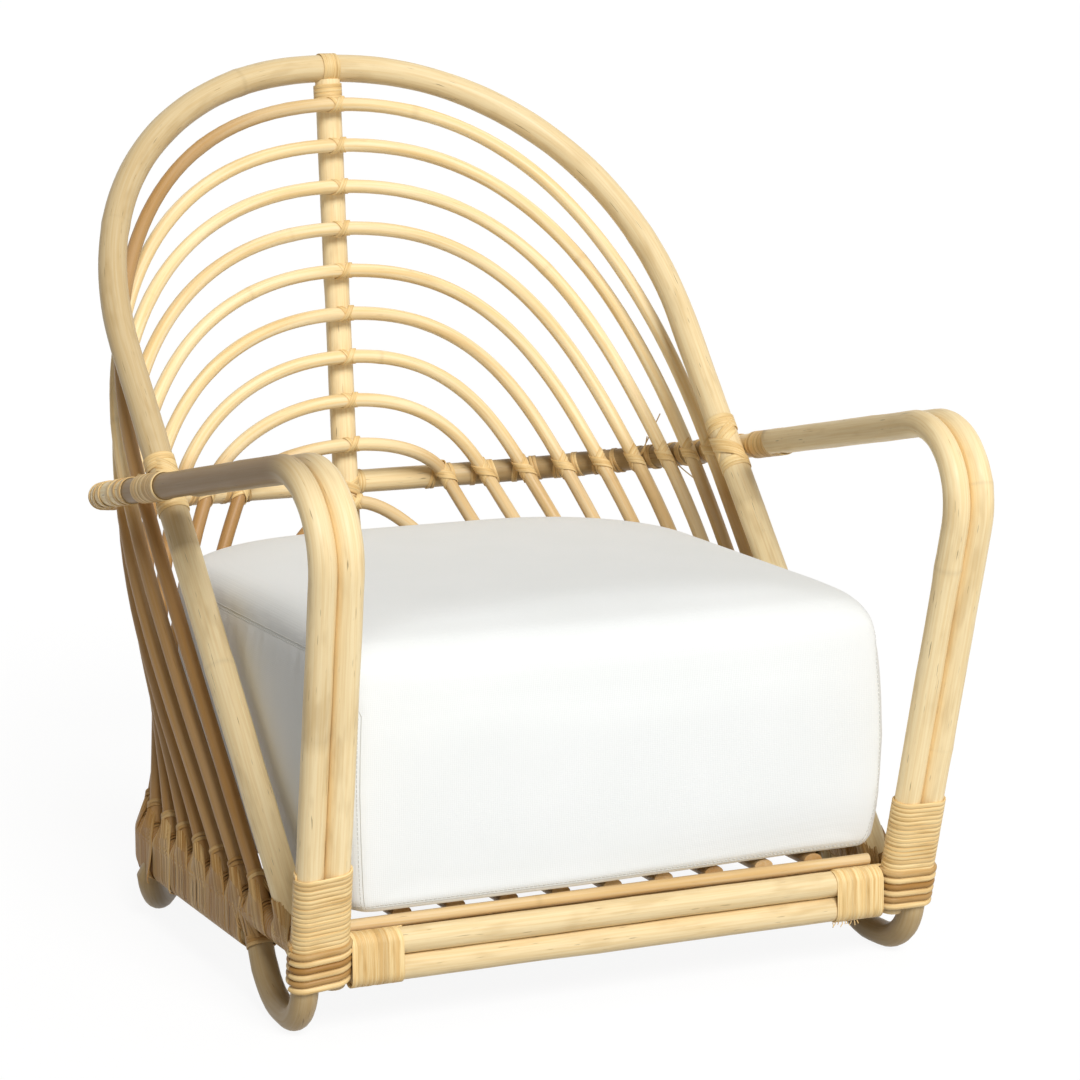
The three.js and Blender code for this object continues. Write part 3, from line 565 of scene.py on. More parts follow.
def alongBase(distance, height):
    straight = baseSizes.depth - baseSizes.corner
    corner = baseSizes.corner * pi / 2
    if distance <= straight:
        return Vector((baseSizes.halfWidth, distance, height)), acrossX.copy()
    angle = min(distance - straight, corner) / baseSizes.corner
    past = max(distance - straight - corner, 0)
    outward = Vector((cos(angle), sin(angle), 0))
    centre = Vector((baseSizes.halfWidth - baseSizes.corner - past, straight, height))
    return centre + outward * baseSizes.corner, outward


def bezier(a, b, c, d, steps):
    result = []
    for i in range(steps + 1):
        t = i / steps
        s = 1 - t
        result.append(a * s ** 3 + b * (3 * s * s * t) + c * (3 * s * t * t) + d * t ** 3)
    return result


def ribHeight(number):
    if number == ribSizes.count - 1:
        return loopBack - ribSizes.lowBelowLoop
    share = number / (ribSizes.count - 2)
    drop = (1 - ribSizes.growth) * share + ribSizes.growth * share ** 2
    return mix(hoopSizes.top - ribSizes.belowHoop, loopBack + ribSizes.aboveLoop, drop)


def ribApex(number):
    return spinePoint(ribHeight(number)) - Vector((0, (ribSizes.spine + ribSizes.pole) / 2 + gap, 0))


def ribFoot(number):
    return ribSizes.firstFoot + ribSizes.footPitch * number


def ribTie(number):
    return ribSizes.firstTie + ribSizes.tiePitch * number


def halfRib(number):
    apex = ribApex(number)
    foot = alongBase(ribFoot(number), wrapTop - 4)[0]
    if number == ribSizes.count - 1:
        shoulder = Vector((0.35 * foot.x, apex.y, apex.z))
        return bezier(apex, shoulder, foot.lerp(shoulder, 0.4), foot, 30)
    tie, inward = onLoop(ribTie(number), (armSizes.pole + ribSizes.pole) / 2 + gap)
    leg = foot - tie
    down = squareTo(leg, inward)
    share = number / (ribSizes.count - 2)
    shoulder = mix(0.74, 0.54, share)
    flank = mix(0.64, 0.5, share)
    above = Vector((shoulder * tie.x, apex.y, apex.z))
    arch = bezier(apex, above, tie - down * (flank * (apex.z - tie.z)), tie, 36)
    lower = bezier(tie, tie + down * (leg.length / 3), foot - leg / 3, foot, 16)
    return arch + lower[1:]


def ribRoute(number):
    half = halfRib(number)
    return half[::-1] + flip(half[1:], -1)


def baseRailRoute(front, height):
    half = baseSizes.halfWidth
    corners = [Vector((half, front, height)), Vector((half, baseSizes.depth, height)),
               Vector((-half, baseSizes.depth, height)), Vector((-half, front, height))]
    return filled(bent(corners, [baseSizes.corner] * 2))


def rearFootRoute():
    rear = footBend(footSizes.rearBend, reachTo(wrapUnder))
    halfLength = footSizes.flat / 2 + rear[-1][0]
    angle = footSizes.alongCorner / baseSizes.corner
    sagitta = baseSizes.corner - sqrt(baseSizes.corner ** 2 - halfLength ** 2)
    outward = Vector((cos(angle), sin(angle), 0))
    along = Vector((-sin(angle), cos(angle), 0))
    start = baseSizes.depth - baseSizes.corner + footSizes.alongCorner
    middle = alongBase(start, 0)[0] - outward * (sagitta / 2)
    path = [middle - along * (footSizes.flat / 2 + a) + up * h for a, h in reversed(rear)]
    path += [middle + along * (footSizes.flat / 2 + a) + up * h for a, h in rear]
    inward = (up - outward * 0.55) * footSizes.letIn
    return filled([path[0] + inward, *path, path[-1] + inward])


turnFacets = cos(pi / 10)
cornerReach = (armSizes.pole / 2 + gap) / turnFacets + 5
frontRailHalf = postX(baseSizes.underside) - polePitch - cornerReach - gap
railBlockReach = (baseSizes.pole / 2 + gap) / turnFacets + 1.8
frontLedger = railBlockReach + deckSizes.ledger / 2 + gap
slatUnder = deckSizes.ledgerHeight + deckSizes.ledger / 2 * facet + gap
stripReach = railBlockReach + deckSizes.strip / 2 + gap
stripHeight = highRail + sqrt(stripReach ** 2 - deckSizes.stripDepth ** 2)
slatFront = deckSizes.stripDepth + deckSizes.strip / 2 + gap
slatBack = deckSizes.rearLedger + deckSizes.pastLedger
slatPitch = 2 * (frontRailHalf - deckSizes.endInset) / (deckSizes.slats - 1)


def acrossRoute(half, depth, height):
    return filled([Vector((-half, depth, height)), Vector((half, depth, height))])


poleLook = {"Sides": 20, "Knot Spacing": 0.27, "Knot Swell": 0.035, "Unevenness": 0.02, "Wander": 1.2 * mm}
grainShift = 1.37
poles = []


def polePiece(node, route, diameter, tone=0.0, face=acrossX, flatness=1.0, slender=False):
    poles.append(node)
    runs = []
    layRun(runs, zip(route, carried(route, face)), tone)
    values = {**poleLook, "Radius": diameter / 2 * mm, "Flatness": flatness,
              "Start": len(poles) * grainShift, "Material": honeyRib if slender else peeledPole}
    piece = grown(f"{node}_cane", runMesh(node, runs), poleTree, values)
    for vertex in piece.data.vertices:  # worn flat where a foot stands
        vertex.co.z = max(vertex.co.z, 0)
    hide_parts(node)
    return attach(piece, "frame")


def scarfCut(piece, point, normal):
    work = bmesh.new()
    work.from_mesh(piece.data)
    everything = work.verts[:] + work.edges[:] + work.faces[:]
    cut = bmesh.ops.bisect_plane(work, geom=everything, plane_co=inFrame(point), plane_no=normal,
                                 clear_outer=True)
    rim = [e for e in cut["geom_cut"] if isinstance(e, bmesh.types.BMEdge)]
    bmesh.ops.holes_fill(work, edges=rim, sides=0)
    work.to_mesh(piece.data)
    work.free()


# Darker cane as the photograph shows it: painted shade on the feet near the floor, on the ribs' lower legs,
# on rib 1's left end in the hoop's shadow and on the hoop's upper left; painted shade with weathering on the
# left arm; the crossbar darker towards its right end
shadeAndWear = Sizes(
    foot=0.66, footBelow=105, footFade=60, armBehind=-70, armFade=90, armAbove=300, rearFoot=0.72,
    bar=0.75, barFrom=40, barFade=160, hoopAbove=400, hoopLeft=0.5, hoopRight=0.28, hoopFrom=-280,
    hoopFade=400, legBelow=450, legFade=40, leftLeg=0.8, first=0.22, firstFall=0.0024, firstMost=0.75)
# Tones of post and arm, for the outer and the inner pole; the left arm's high tone is painted shade with
# weathering
armShadeAndWear = {"right": ((0.05, 0.15), (0.05, 0.3)), "left": ((0.2, 0.8), (0.05, 0.6))}
scarf = Sizes(back=14, aside=0.7, down=0.4)


def armTones(route, post, shadeAndWeathering):
    tones = []
    for point in route:
        # Painted shade: darker towards the floor; above and behind the post, the arm adds its tone of painted
        # shade and weathering
        foot = clamp((shadeAndWear.footBelow - point.z) / shadeAndWear.footFade)
        arm = clamp((point.y - shadeAndWear.armBehind) / shadeAndWear.armFade) * (point.z > shadeAndWear.armAbove)
        tones.append(mix(post, shadeAndWear.foot, foot) + shadeAndWeathering * arm)
    return tones


for label, side in sides.items():
    outerShadeAndWear, innerShadeAndWear = armShadeAndWear[label]
    outerRoute = flip(armOuterRoute(), side)
    innerRoute = flip(armInnerRoute(), side)
    polePiece(f"arm_pole_outer_{label}", outerRoute, armSizes.pole, armTones(outerRoute, *outerShadeAndWear))
    inner = polePiece(f"arm_pole_inner_{label}", innerRoute, armSizes.pole, armTones(innerRoute, *innerShadeAndWear))
    onward = (innerRoute[-1] - innerRoute[-2]).normalized()
    slant = (onward + Vector((-side * scarf.aside, 0, -scarf.down))).normalized()
    scarfCut(inner, innerRoute[-1] - onward * scarf.back, slant)
    # The rear foot's dark tone is painted shade near the floor
    polePiece(f"rear_foot_{label}", flip(rearFootRoute(), side), armSizes.pole, shadeAndWear.rearFoot)
crossbar = crossbarRoute()
# The crossbar darker towards its right end
barTones = [shadeAndWear.bar * clamp((p.x - shadeAndWear.barFrom) / shadeAndWear.barFade) for p in crossbar]
polePiece("back_crossbar", crossbar, armSizes.pole, barTones)
hoop = hoopRoute()
hoopInRail = (hoop[0] - hoop[1]).normalized() * hoopSizes.letIn
hoop = [hoop[0] + hoopInRail, *hoop, hoop[-1] + flip([hoopInRail], -1)[0]]
hoopTones = []
# Painted shade: the hoop's upper part darker, more on its left than on its right
for point in hoop:
    fromLeft = clamp((point.x - shadeAndWear.hoopFrom) / shadeAndWear.hoopFade)
    hoopTones.append(mix(shadeAndWear.hoopLeft, shadeAndWear.hoopRight, fromLeft) * (point.z > shadeAndWear.hoopAbove))
polePiece("back_hoop", hoop, hoopSizes.pole, hoopTones)
polePiece("back_spine", spineRoute(), ribSizes.spine)
for number in range(ribSizes.count):
    route = ribRoute(number)
    ribTone = chance(0.18)
    # Painted shade on the ribs' lower legs, darker low on the sides: more on the left, and on the right most
    # for the two first ribs; ribTone is a random tone
    rightLegShade = 0.6 if number < 2 else 0.3
    ribTones = []
    for point in route:
        # Painted shade: rib 1's left end darker, in the hoop's shadow
        first = min(max(shadeAndWear.first - shadeAndWear.firstFall * point.x, 0), shadeAndWear.firstMost) * (number == 0)
        leg = (rightLegShade if point.x > 0 else shadeAndWear.leftLeg) * clamp((shadeAndWear.legBelow - point.z) / shadeAndWear.legFade)
        ribTones.append(ribTone + first + leg)
    polePiece(f"back_rib_{number + 1:02d}", route, ribSizes.pole, ribTones, slender=True)
for label, front, height in (("lower", lowRailFront, lowRail), ("upper", baseSizes.front, highRail)):
    polePiece(f"base_rail_{label}", baseRailRoute(front, height), baseSizes.pole, 0.4)
    polePiece(f"front_rail_{label}", acrossRoute(frontRailHalf, 0, height), baseSizes.pole, 0.3, up)
rearLow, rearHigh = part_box("slat_ledger_rear")
ledger = (deckSizes.ledgerHeight, deckSizes.ledger, 0.5)
for node, half, depth, height, thickness, tone in (
        ("front_strip", frontRailHalf, deckSizes.stripDepth, stripHeight, deckSizes.strip, 0.45),
        ("slat_ledger_front", frontRailHalf, frontLedger, *ledger),
        ("slat_ledger_rear", (rearHigh.x - rearLow.x) / 2 / mm, deckSizes.rearLedger, *ledger)):
    polePiece(node, acrossRoute(half, depth, height), thickness, tone, up, slender=node == "front_strip")
slatHeight = slatUnder + deckSizes.slatThickness / 2
for number in range(deckSizes.slats):
    slatX = (number - (deckSizes.slats - 1) / 2) * slatPitch
    slatRoute = filled([Vector((slatX, slatFront, slatHeight)), Vector((slatX, slatBack, slatHeight))])
    polePiece(f"seat_slat_{number + 1:02d}", slatRoute, deckSizes.slatWidth, 0.5 + chance(0.4), up,
              deckSizes.slatThickness / deckSizes.slatWidth, True)
print("poles grown:", len(poles))


# Windings: one strand wound round a pole, or round two that lie side by side
turnSteps = 26
turnLength = 1.04  # each turn laps a little over the next
strandLift = 0.2


def aroundPole(axis, across, count=turnSteps):
    beside = axis.cross(across)
    for i in range(count):
        angle = (i + 0.5) * 2 * pi / turnSteps
        yield i, angle, across * cos(angle) + beside * sin(angle)


def windingPiece(name, wrap, start, axis, across, halfSpacing, pole, draw, offset=0, rounding=0.34):
    # What draw gives is the slack and the tone of one turn.
    runs = []
    for turn in range(wrap.turns):
        slack, tone = draw(turn)
        radius = pole / 2 + wrap.thickness / 2 + strandLift + slack
        foot = start + axis * (offset + wrap.pitch * turn)
        laid = []
        for i, angle, out in aroundPole(axis, across, round(turnLength * turnSteps)):
            centre = foot + axis * (wrap.pitch * (i + 0.5) / turnSteps)
            laid.append((centre + across * copysign(halfSpacing, cos(angle)) + out * radius, out))
        layRun(runs, laid, tone)
    strandPiece(name, runs, wrap.width, wrap.thickness, [name.replace("winding", "binding")], rounding)


def ringRun(runs, centre, axis, across, radius, tone, tilt):
    axis = axis.normalized()
    circle = aroundPole(axis, squareTo(across, axis))
    laid = [(centre + out * radius + axis * (tilt * sin(angle)), out) for i, angle, out in circle]
    layRun(runs, laid, tone, True)


postWrap = Sizes(foot=54, tilt=radians(4), gap=1.5)
thickWrap = Sizes(turns=6, pitch=7, width=7, thickness=5, rounding=0.48)
thickTones = (0.15, 0.75, 0.3, 0.95, 0.2, 0.6)
thinWrap = Sizes(turns=16, pitch=4.7, width=4.8, thickness=1.9)
for label, side in sides.items():
    foot = Vector((postX(postWrap.foot) - polePitch / 2, postDepth(postWrap.foot), postWrap.foot))
    top = Vector((armSizes.frontHalfWidth - polePitch / 2, postDepth(armCorner), armCorner))
    axis = (top - foot).normalized()
    across = squareTo(acrossX, axis)
    foot, axis, across = flip([foot, axis, across], side)
    if side < 0:
        across = Quaternion(axis.cross(across), postWrap.tilt) @ across
    windingPiece(f"corner_winding_{label}", thickWrap, foot, axis, across, polePitch / 2, armSizes.pole,
                 lambda turn: (0, thickTones[turn]), thickWrap.width / 2, thickWrap.rounding)
    start = foot + axis * (thickWrap.pitch * thickWrap.turns + postWrap.gap)
    windingPiece(f"post_winding_{label}", thinWrap, start, axis, across, polePitch / 2, armSizes.pole,
                 lambda turn: (chance(0.15), chance(0.35)))

blockWrap = Sizes(turns=10, pitch=5.2, width=5.4, thickness=1.2, pastEnd=4)
for label, side in sides.items():
    start = Vector((frontRailHalf - blockWrap.pitch * blockWrap.turns + blockWrap.pastEnd, 0, railMiddle))
    start, axis = flip([start, acrossX], side)
    windingPiece(f"front_rail_winding_{label}", blockWrap, start, axis, up, (highRail - lowRail) / 2,
                 baseSizes.pole, lambda turn: (chance(0.25), chance(0.45)))

armWrap = Sizes(turns=15, pitch=4.3, width=4.6, thickness=1.4, fromHoop=22, underHoop=4)


def armTurn(turn):  # the first turn is pale
    tone = 0.0 if turn == 0 else 0.2 + chance(0.4)
    return chance(0.2), tone


for label, side in sides.items():
    end = loopDepthAtHoop - (hoopSizes.pole / cos(hoopSizes.lean) + armSizes.pole * hoopSlope) / 2
    corner = Vector((armSizes.frontHalfWidth, postDepth(armCorner), armCorner))
    axis = (Vector((armHalfWidth, armSplice, loopHeight(armSplice))) - corner).normalized()
    length = (end + armWrap.underHoop - corner.y) / axis.y
    start = corner + axis * (length - armWrap.pitch * (armWrap.turns + 1) + armWrap.fromHoop)
    start, axis = flip([start, axis], side)
    across = squareTo(acrossX, axis)
    windingPiece(f"arm_winding_{label}", armWrap, start, axis, across, 0, armSizes.pole, armTurn)

crownWrap = Sizes(turns=4, pitch=4.4, width=4.9, thickness=1.5, below=4.6)
crownBand = Sizes(turns=5, pitch=3.7, width=4.2, thickness=1.4, lift=0.9)
crown = spinePoint(hoopSizes.top - hoopSizes.pole / 2 - 1) - spineLean * (crownWrap.pitch * crownWrap.below)
windingPiece("crown_winding", crownWrap, crown, spineLean, acrossX, 0, ribSizes.spine,
             lambda turn: (0.1, chance(0.35)))
runs = []
for turn in range(crownBand.turns):
    x = (turn - (crownBand.turns - 1) / 2) * crownBand.pitch
    ringRun(runs, spineTop + acrossX * x, acrossX, spineLean, hoopSizes.pole / 2 + crownBand.lift,
            chance(0.3), tilt=chance(0.8))
strandPiece("crown_band", runs, crownBand.width, crownBand.thickness)
print("windings grown")


# Wrapping of the side and rear rails: close upright turns, drawn up round each foot that stands on them
railWrap = Sizes(pitch=4.9, width=5.3, thickness=1.4, lift=5, spread=11, draw=0.2)
sideFeet = [(ribFoot(n), 1.0) for n in range(ribSizes.count)]
wrapSplit = baseSizes.depth - baseSizes.corner + baseSizes.corner * pi / 2 + baseSizes.pastCorner
spineFootAt = wrapSplit + baseSizes.halfWidth - baseSizes.corner - baseSizes.pastCorner


def railTurn(runs, distance, side, feet, undermost, tone, lean):
    lift = 0
    draw = 0
    for foot, size in feet:
        away = distance - foot
        pull = exp(-(away / (railWrap.spread * size)) ** 2)
        lift += railWrap.lift * size * pull
        draw -= away * pull * railWrap.draw
    laid = []
    radius = baseSizes.pole / 2 + railWrap.thickness / 2 + strandLift + chance(0.3)
    steps = 30
    for i in range(steps):
        angle = (i + 0.5) * 2 * pi / steps
        rise = max(sin(angle), 0) ** 1.4
        height = (highRail if sin(angle) > 0 else undermost) + sin(angle) * radius + lift * rise
        shift = draw * clamp((height - lowRail) / 50) + lean * (height - railMiddle) / 40
        centre, out = alongBase(distance + shift, height)
        slim = 1 - 0.35 * rise * min(lift / 16, 1)
        laid.append((centre + out * (cos(angle) * radius * slim), out * cos(angle) + up * sin(angle)))
    layRun(runs, laid, tone, True, side)


wrapStretches = (("front_side", baseSizes.front + 3, lowRailFront - 2, highRail),
                 ("side_rail", lowRailFront + 2.5, wrapSplit, lowRail))
for label, side in sides.items():
    for stretch, distance, last, undermost in wrapStretches:
        runs = []
        while distance < last:
            tone = 0.72 + chance(0.4)
            railTurn(runs, distance, side, sideFeet, undermost, tone, chance(1.2) - 0.2)
            distance += railWrap.pitch * (0.94 + chance(0.12))
        strandPiece(f"{stretch}_wrapping_{label}", runs, railWrap.width, railWrap.thickness,
                    [f"{stretch}_binding_{label}"])
runs = []
rearFeet = [(spineFootAt, 1.4)]
for label, side in sides.items():
    distance = wrapSplit + 2
    while distance < spineFootAt - 1:
        railTurn(runs, distance, side, rearFeet, lowRail, 0.5 + chance(0.5), 0.4)
        distance += railWrap.pitch
strandPiece("rear_rail_wrapping", runs, railWrap.width, railWrap.thickness, ["rear_rail_binding"])

# Skirts that tie each rib to the rails: strands hang from a collar, fan out and run on under the rails
footSkirt = Sizes(
    strands=16, width=3.9, thickness=1.1, rise=19, flare=3.15, wrap=1.4, lift=0.7, collar=2, collarDrop=-1,
    collarPitch=3.2, collarLift=1.1, sink=0.8, hem=1.5, steps=22, tautening=60)
legSkirt = Sizes(strands=9, neck=62, flare=1.7, collar=3, collarDrop=-5, hem=2)
hoopSkirt = Sizes(strands=18, rise=16, flare=1.3)
wrapSkin = baseSizes.pole / 2 + railWrap.thickness + 0.4


def standingFoot(distance, route, radius, neck, flare):
    base, out = alongBase(distance, route[0].z)
    rising = (route[4] - route[0]).normalized()
    onward = (alongBase(distance + 1, route[0].z)[0] - base).normalized()
    return Sizes(
        at=distance, radius=radius, bottom=route[0].z, set=(route[0] - base).dot(out), start=route[0],
        along=rising.dot(onward) / rising.z, out=rising.dot(out) / rising.z, rising=rising, neck=neck,
        flare=flare)


def railSkin(along, height):
    bothRails = along > lowRailFront
    if bothRails and lowRail < height < highRail:
        return wrapSkin
    away = height - (lowRail if bothRails and height < railMiddle else highRail)
    return sqrt(max(wrapSkin ** 2 - away ** 2, 0)) - 8 * (abs(away) > wrapSkin)


def footSurface(foot, along, height, face):
    skin = railSkin(along, height)
    aside = along - foot.at - foot.along * (height - foot.bottom)
    if abs(aside) < foot.radius:
        axisOut = foot.set + foot.out * (height - foot.bottom)
        skin = max(skin, axisOut * face + sqrt(foot.radius ** 2 - aside ** 2))
    return skin


def skirtRun(runs, foot, share, side, face, hem, tone):
    angle = footSkirt.wrap * share
    reach = foot.radius + footSkirt.lift
    steps = footSkirt.steps
    spots = []
    skin = []
    for i in range(steps + 1):
        height = mix(foot.neck, hem, i / steps)
        fallen = clamp((foot.neck - height) / (foot.neck - highRail))
        spread = fallen * fallen * (3 - 2 * fallen)
        lower, upper = sorted((foot.neck, highRail))
        axisAlong = foot.at + foot.along * (min(max(height, lower), upper) - foot.bottom)
        along = axisAlong + mix(reach * sin(angle), reach * foot.flare * share, spread)
        spots.append((along, height, spread))
        axisOut = foot.set + foot.out * (height - foot.bottom)
        onPole = axisOut * face + reach * cos(angle)
        skin.append(onPole if fallen == 0 else footSurface(foot, along, height, face) + footSkirt.lift)
    for _ in range(footSkirt.tautening):  # a taut strand bridges the hollows
        for i in range(1, steps):
            if spots[i][2] > 0:
                skin[i] = max(skin[i], (skin[i - 1] + skin[i + 1]) / 2)
    laid = []
    for (along, height, spread), lift in zip(spots, skin):
        centre, out = alongBase(along, height)
        onward = (alongBase(along + 1, height)[0] - centre).normalized()
        radial = onward * sin(angle) + out * (face * cos(angle))
        tip = height - min(max(height, lowRail), highRail)
        onRail = out * face + up * min(max(tip / 14, -0.9), 0.7)
        laid.append((centre + out * (face * lift), radial.lerp(onRail, spread).normalized()))
    layRun(runs, laid, tone, side=side)


def collarRun(runs, foot, side, turns, first, tone):
    for turn in range(turns):
        lift = foot.neck + first + footSkirt.collarPitch * turn - foot.start.z
        place = [foot.start + foot.rising * (lift / foot.rising.z), foot.rising, acrossX]
        radius = foot.radius + footSkirt.collarLift
        ringRun(runs, *flip(place, side), radius, tone + chance(0.3), tilt=chance(1.6))


def skirt(runs, foot, strands, side, faces, hem, tone, unevenness):
    for number in range(strands):
        share = 2 * (number + chance(0.6) + 0.2) / strands - 1
        for face in faces:
            skirtRun(runs, foot, share, side, face, hem, tone + chance(unevenness))


def hemOf(foot):
    return (lowRail if foot.at > lowRailFront else highRail) - wrapSkin + footSkirt.hem


ribFeet = []
for number in range(ribSizes.count):
    neck = wrapTop + footSkirt.rise - footSkirt.sink * number
    legRoute = halfRib(number)[::-1]
    ribFeet.append(standingFoot(ribFoot(number), legRoute, ribSizes.pole / 2, neck, footSkirt.flare))
heavyFeet = [standingFoot(distance, route, pole / 2, wrapTop + hoopSkirt.rise, hoopSkirt.flare)
             for distance, route, pole in ((hoopSizes.footDepth, hoopRoute(), hoopSizes.pole),
                                           (spineFootAt, spineRoute()[::-1], ribSizes.spine))]
legRoute = armOuterRoute()[6:1:-1]
legFoot = standingFoot(legRoute[0].y, legRoute, armSizes.pole / 2, legSkirt.neck, legSkirt.flare)
bothFaces = (1, -1)
for label, side in sides.items():
    runs = []
    for foot in ribFeet:
        shade = 0.4 + chance(0.2)
        skirt(runs, foot, footSkirt.strands, side, bothFaces, hemOf(foot), shade, 0.45)
        collarRun(runs, foot, side, footSkirt.collar, footSkirt.collarDrop, shade)
    for foot in heavyFeet if side > 0 else heavyFeet[:1]:  # the spine has one foot
        skirt(runs, foot, hoopSkirt.strands, side, bothFaces, hemOf(foot), 0.4, 0.45)
    skirt(runs, legFoot, legSkirt.strands, side, (1,), highRail + wrapSkin - legSkirt.hem, 0.5, 0.4)
    collarRun(runs, legFoot, side, legSkirt.collar, legSkirt.collarDrop, 0.5)
    strandPiece(f"rail_foot_lashing_{label}", runs, footSkirt.width, footSkirt.thickness)
print("rail wrapping grown")


# Cross lashings: flat strands slant over the front pole on both diagonals and go in behind it
def halfTurn(runs, centre, axis, facing, radius, slant, offset, tone):
    axis = axis.normalized()
    front = squareTo(facing, axis)
    beside = axis.cross(front)
    laid = []
    steps = 18
    reach = 2.0  # how far round the pole a strand goes to each side, in radians
    for i in range(steps + 1):
        share = 2 * i / steps - 1
        out = front * cos(reach * share) + beside * sin(reach * share)
        dive = 2.5 * max(0, abs(share) - 0.8) / 0.2  # its ends go in under the other strands
        laid.append((centre + axis * (offset + slant * share) + out * (radius - dive), out))
    layRun(runs, laid, tone)


def crossLash(runs, centre, axis, facing, radius, lash, tone):
    for layer, slant in enumerate((lash.slant, -lash.slant)):
        for strand in range(lash.count):
            offset = (strand - (lash.count - 1) / 2) * lash.spacing
            lifted = radius + lash.thickness * (0.5 + 0.8 * layer)
            halfTurn(runs, centre, axis, facing, lifted, slant, offset, tone + chance(0.25))


def nearestTangent(route, point):
    spot = min(range(1, len(route) - 1), key=lambda i: (route[i] - point).length)
    return (route[spot + 1] - route[spot - 1]).normalized()


spineLash = Sizes(count=2, spacing=3.2, thickness=0.9, width=3.2, slant=9)
loopLash = Sizes(count=3, spacing=3.5, thickness=1.0, width=3.8, slant=12, turns=2, backTurns=4, backFrom=16)
ringPitch = 3.6
ringOnArm = armSizes.pole / 2 + 0.6
runs = []
for number in range(ribSizes.count):
    crossLash(runs, ribApex(number), acrossX, Vector((0, -1, 0)), ribSizes.pole / 2, spineLash, 0.0)
    ringRun(runs, spinePoint(ribHeight(number)) + spineLean * (chance(5) - 7.5), spineLean, acrossX,
            ribSizes.spine / 2 + 0.3, 0.5, tilt=1.5)
strandPiece("rib_spine_lashing", runs, spineLash.width, spineLash.thickness)
runs = []
for side in sides.values():
    for number in range(ribSizes.count - 1):
        loopSpot, inward = onLoop(ribTie(number), 0)
        onward = (onLoop(ribTie(number) + 2, 0)[0] - loopSpot).normalized()
        ribSpot = onLoop(ribTie(number), (armSizes.pole + ribSizes.pole) / 2 + gap)[0]
        ribAlong = nearestTangent(halfRib(number), ribSpot)
        place = flip([ribSpot, ribAlong, inward, loopSpot, onward], side)
        crossLash(runs, *place[:3], ribSizes.pole / 2, loopLash, 0.05)
        for turn in range(loopLash.turns):
            for way in (1, -1):
                shift = way * (ribSizes.pole / 2 + 1.5 + ringPitch * turn)
                ringRun(runs, place[3] + place[4] * shift, place[4], acrossX, ringOnArm, 0.1 + chance(0.4),
                        tilt=way * (1.5 + chance(3)))
crossLash(runs, spineAtLoop, spineLean, Vector((0, -1, 0)), ribSizes.spine / 2, loopLash, 0.1)
for turn in range(loopLash.backTurns):
    for way in (1, -1):
        spot = Vector((way * (loopLash.backFrom + ringPitch * turn), loopSizes.depth, loopBack))
        ringRun(runs, spot, acrossX, up, ringOnArm, chance(0.3), tilt=1.0)
strandPiece("loop_lashing", runs, loopLash.width, loopLash.thickness)

# Hoop and arm joint: bands on the hoop above and below the arm, cross strands, turns along the loop behind
jointWrap = Sizes(above=4, below=3, behind=(6, 9.5, 26, 44, 47.5), pitch=3.9, width=4.4, thickness=1.1)
jointLash = Sizes(count=4, spacing=4.2, thickness=1.3, slant=22)
runs = []
hoopUp = (hoopPoint(hoopSizes.halfWidth, hoopSpring) - hoopPoint(hoopFoot, 0)).normalized()
for side in sides.values():
    along = (loopSizes.height - wrapTop) / cos(hoopSizes.lean)
    loopSpot = onLoop(0, 0)[0]
    loopAlong = (onLoop(4, 0)[0] - loopSpot).normalized()
    inside = Vector((-1, -0.35, 0.1))
    spots = flip([hoopPoint(hoopAtArm, along), hoopUp, loopSpot, loopAlong, inside], side)
    crossLash(runs, spots[0], spots[1], spots[4], hoopSizes.pole / 2, jointLash, 0.05)
    reach = armSizes.pole / 2 / cos(hoopSizes.lean) + 3
    for way, turns in ((1, jointWrap.above), (-1, jointWrap.below)):
        for turn in range(turns):
            ringRun(runs, spots[0] + spots[1] * (way * (reach + jointWrap.pitch * turn)), spots[1], acrossX,
                    hoopSizes.pole / 2 + 0.6, chance(0.25), tilt=chance(1.2))
    behind = hoopSizes.pole / 2 / cos(hoopSizes.lean)
    for shift in jointWrap.behind:
        spot = spots[2] + spots[3] * (behind + shift)
        ringRun(runs, spot, spots[3], acrossX, ringOnArm, 0.15 + chance(0.4), tilt=chance(2.0))
strandPiece("hoop_arm_lashing", runs, jointWrap.width, jointWrap.thickness)

# Loose strand ends by two of the ribs, and a few frayed fibres under a front winding
looseEnds = Sizes(width=1.4, thickness=0.6)
runs = []
for number, reach in ((3, Vector((16, -22, 52))), (3, Vector((4, -14, 26))), (2, Vector((40, 4, -34)))):
    start = onLoop(ribTie(number), armSizes.pole / 2 + 2)[0]
    bulge = Vector((reach.x * 0.1, -16, reach.z * 0.35))
    route = bezier(start, start + bulge, start + reach * 0.6 + bulge * 0.3, start + reach, 14)
    layRun(runs, zip(route, carried(route, Vector((0, -1, 0.2)))), 0.2)
for fibre in range(9):
    start = Vector((frontRailHalf - 50 + 3.4 * fibre, -6 + chance(3), lowRail - baseSizes.pole / 2 - 0.6))
    tip = start + Vector((chance(5) - 4, -chance(3), -2 - chance(3)))
    route = bezier(start, start + Vector((0, -2, -2)), start.lerp(tip, 0.6), tip, 6)
    layRun(runs, zip(route, carried(route, acrossX)), 0.0)
strandPiece("loose_strand_ends", runs, looseEnds.width, looseEnds.thickness)
print("lashings grown")

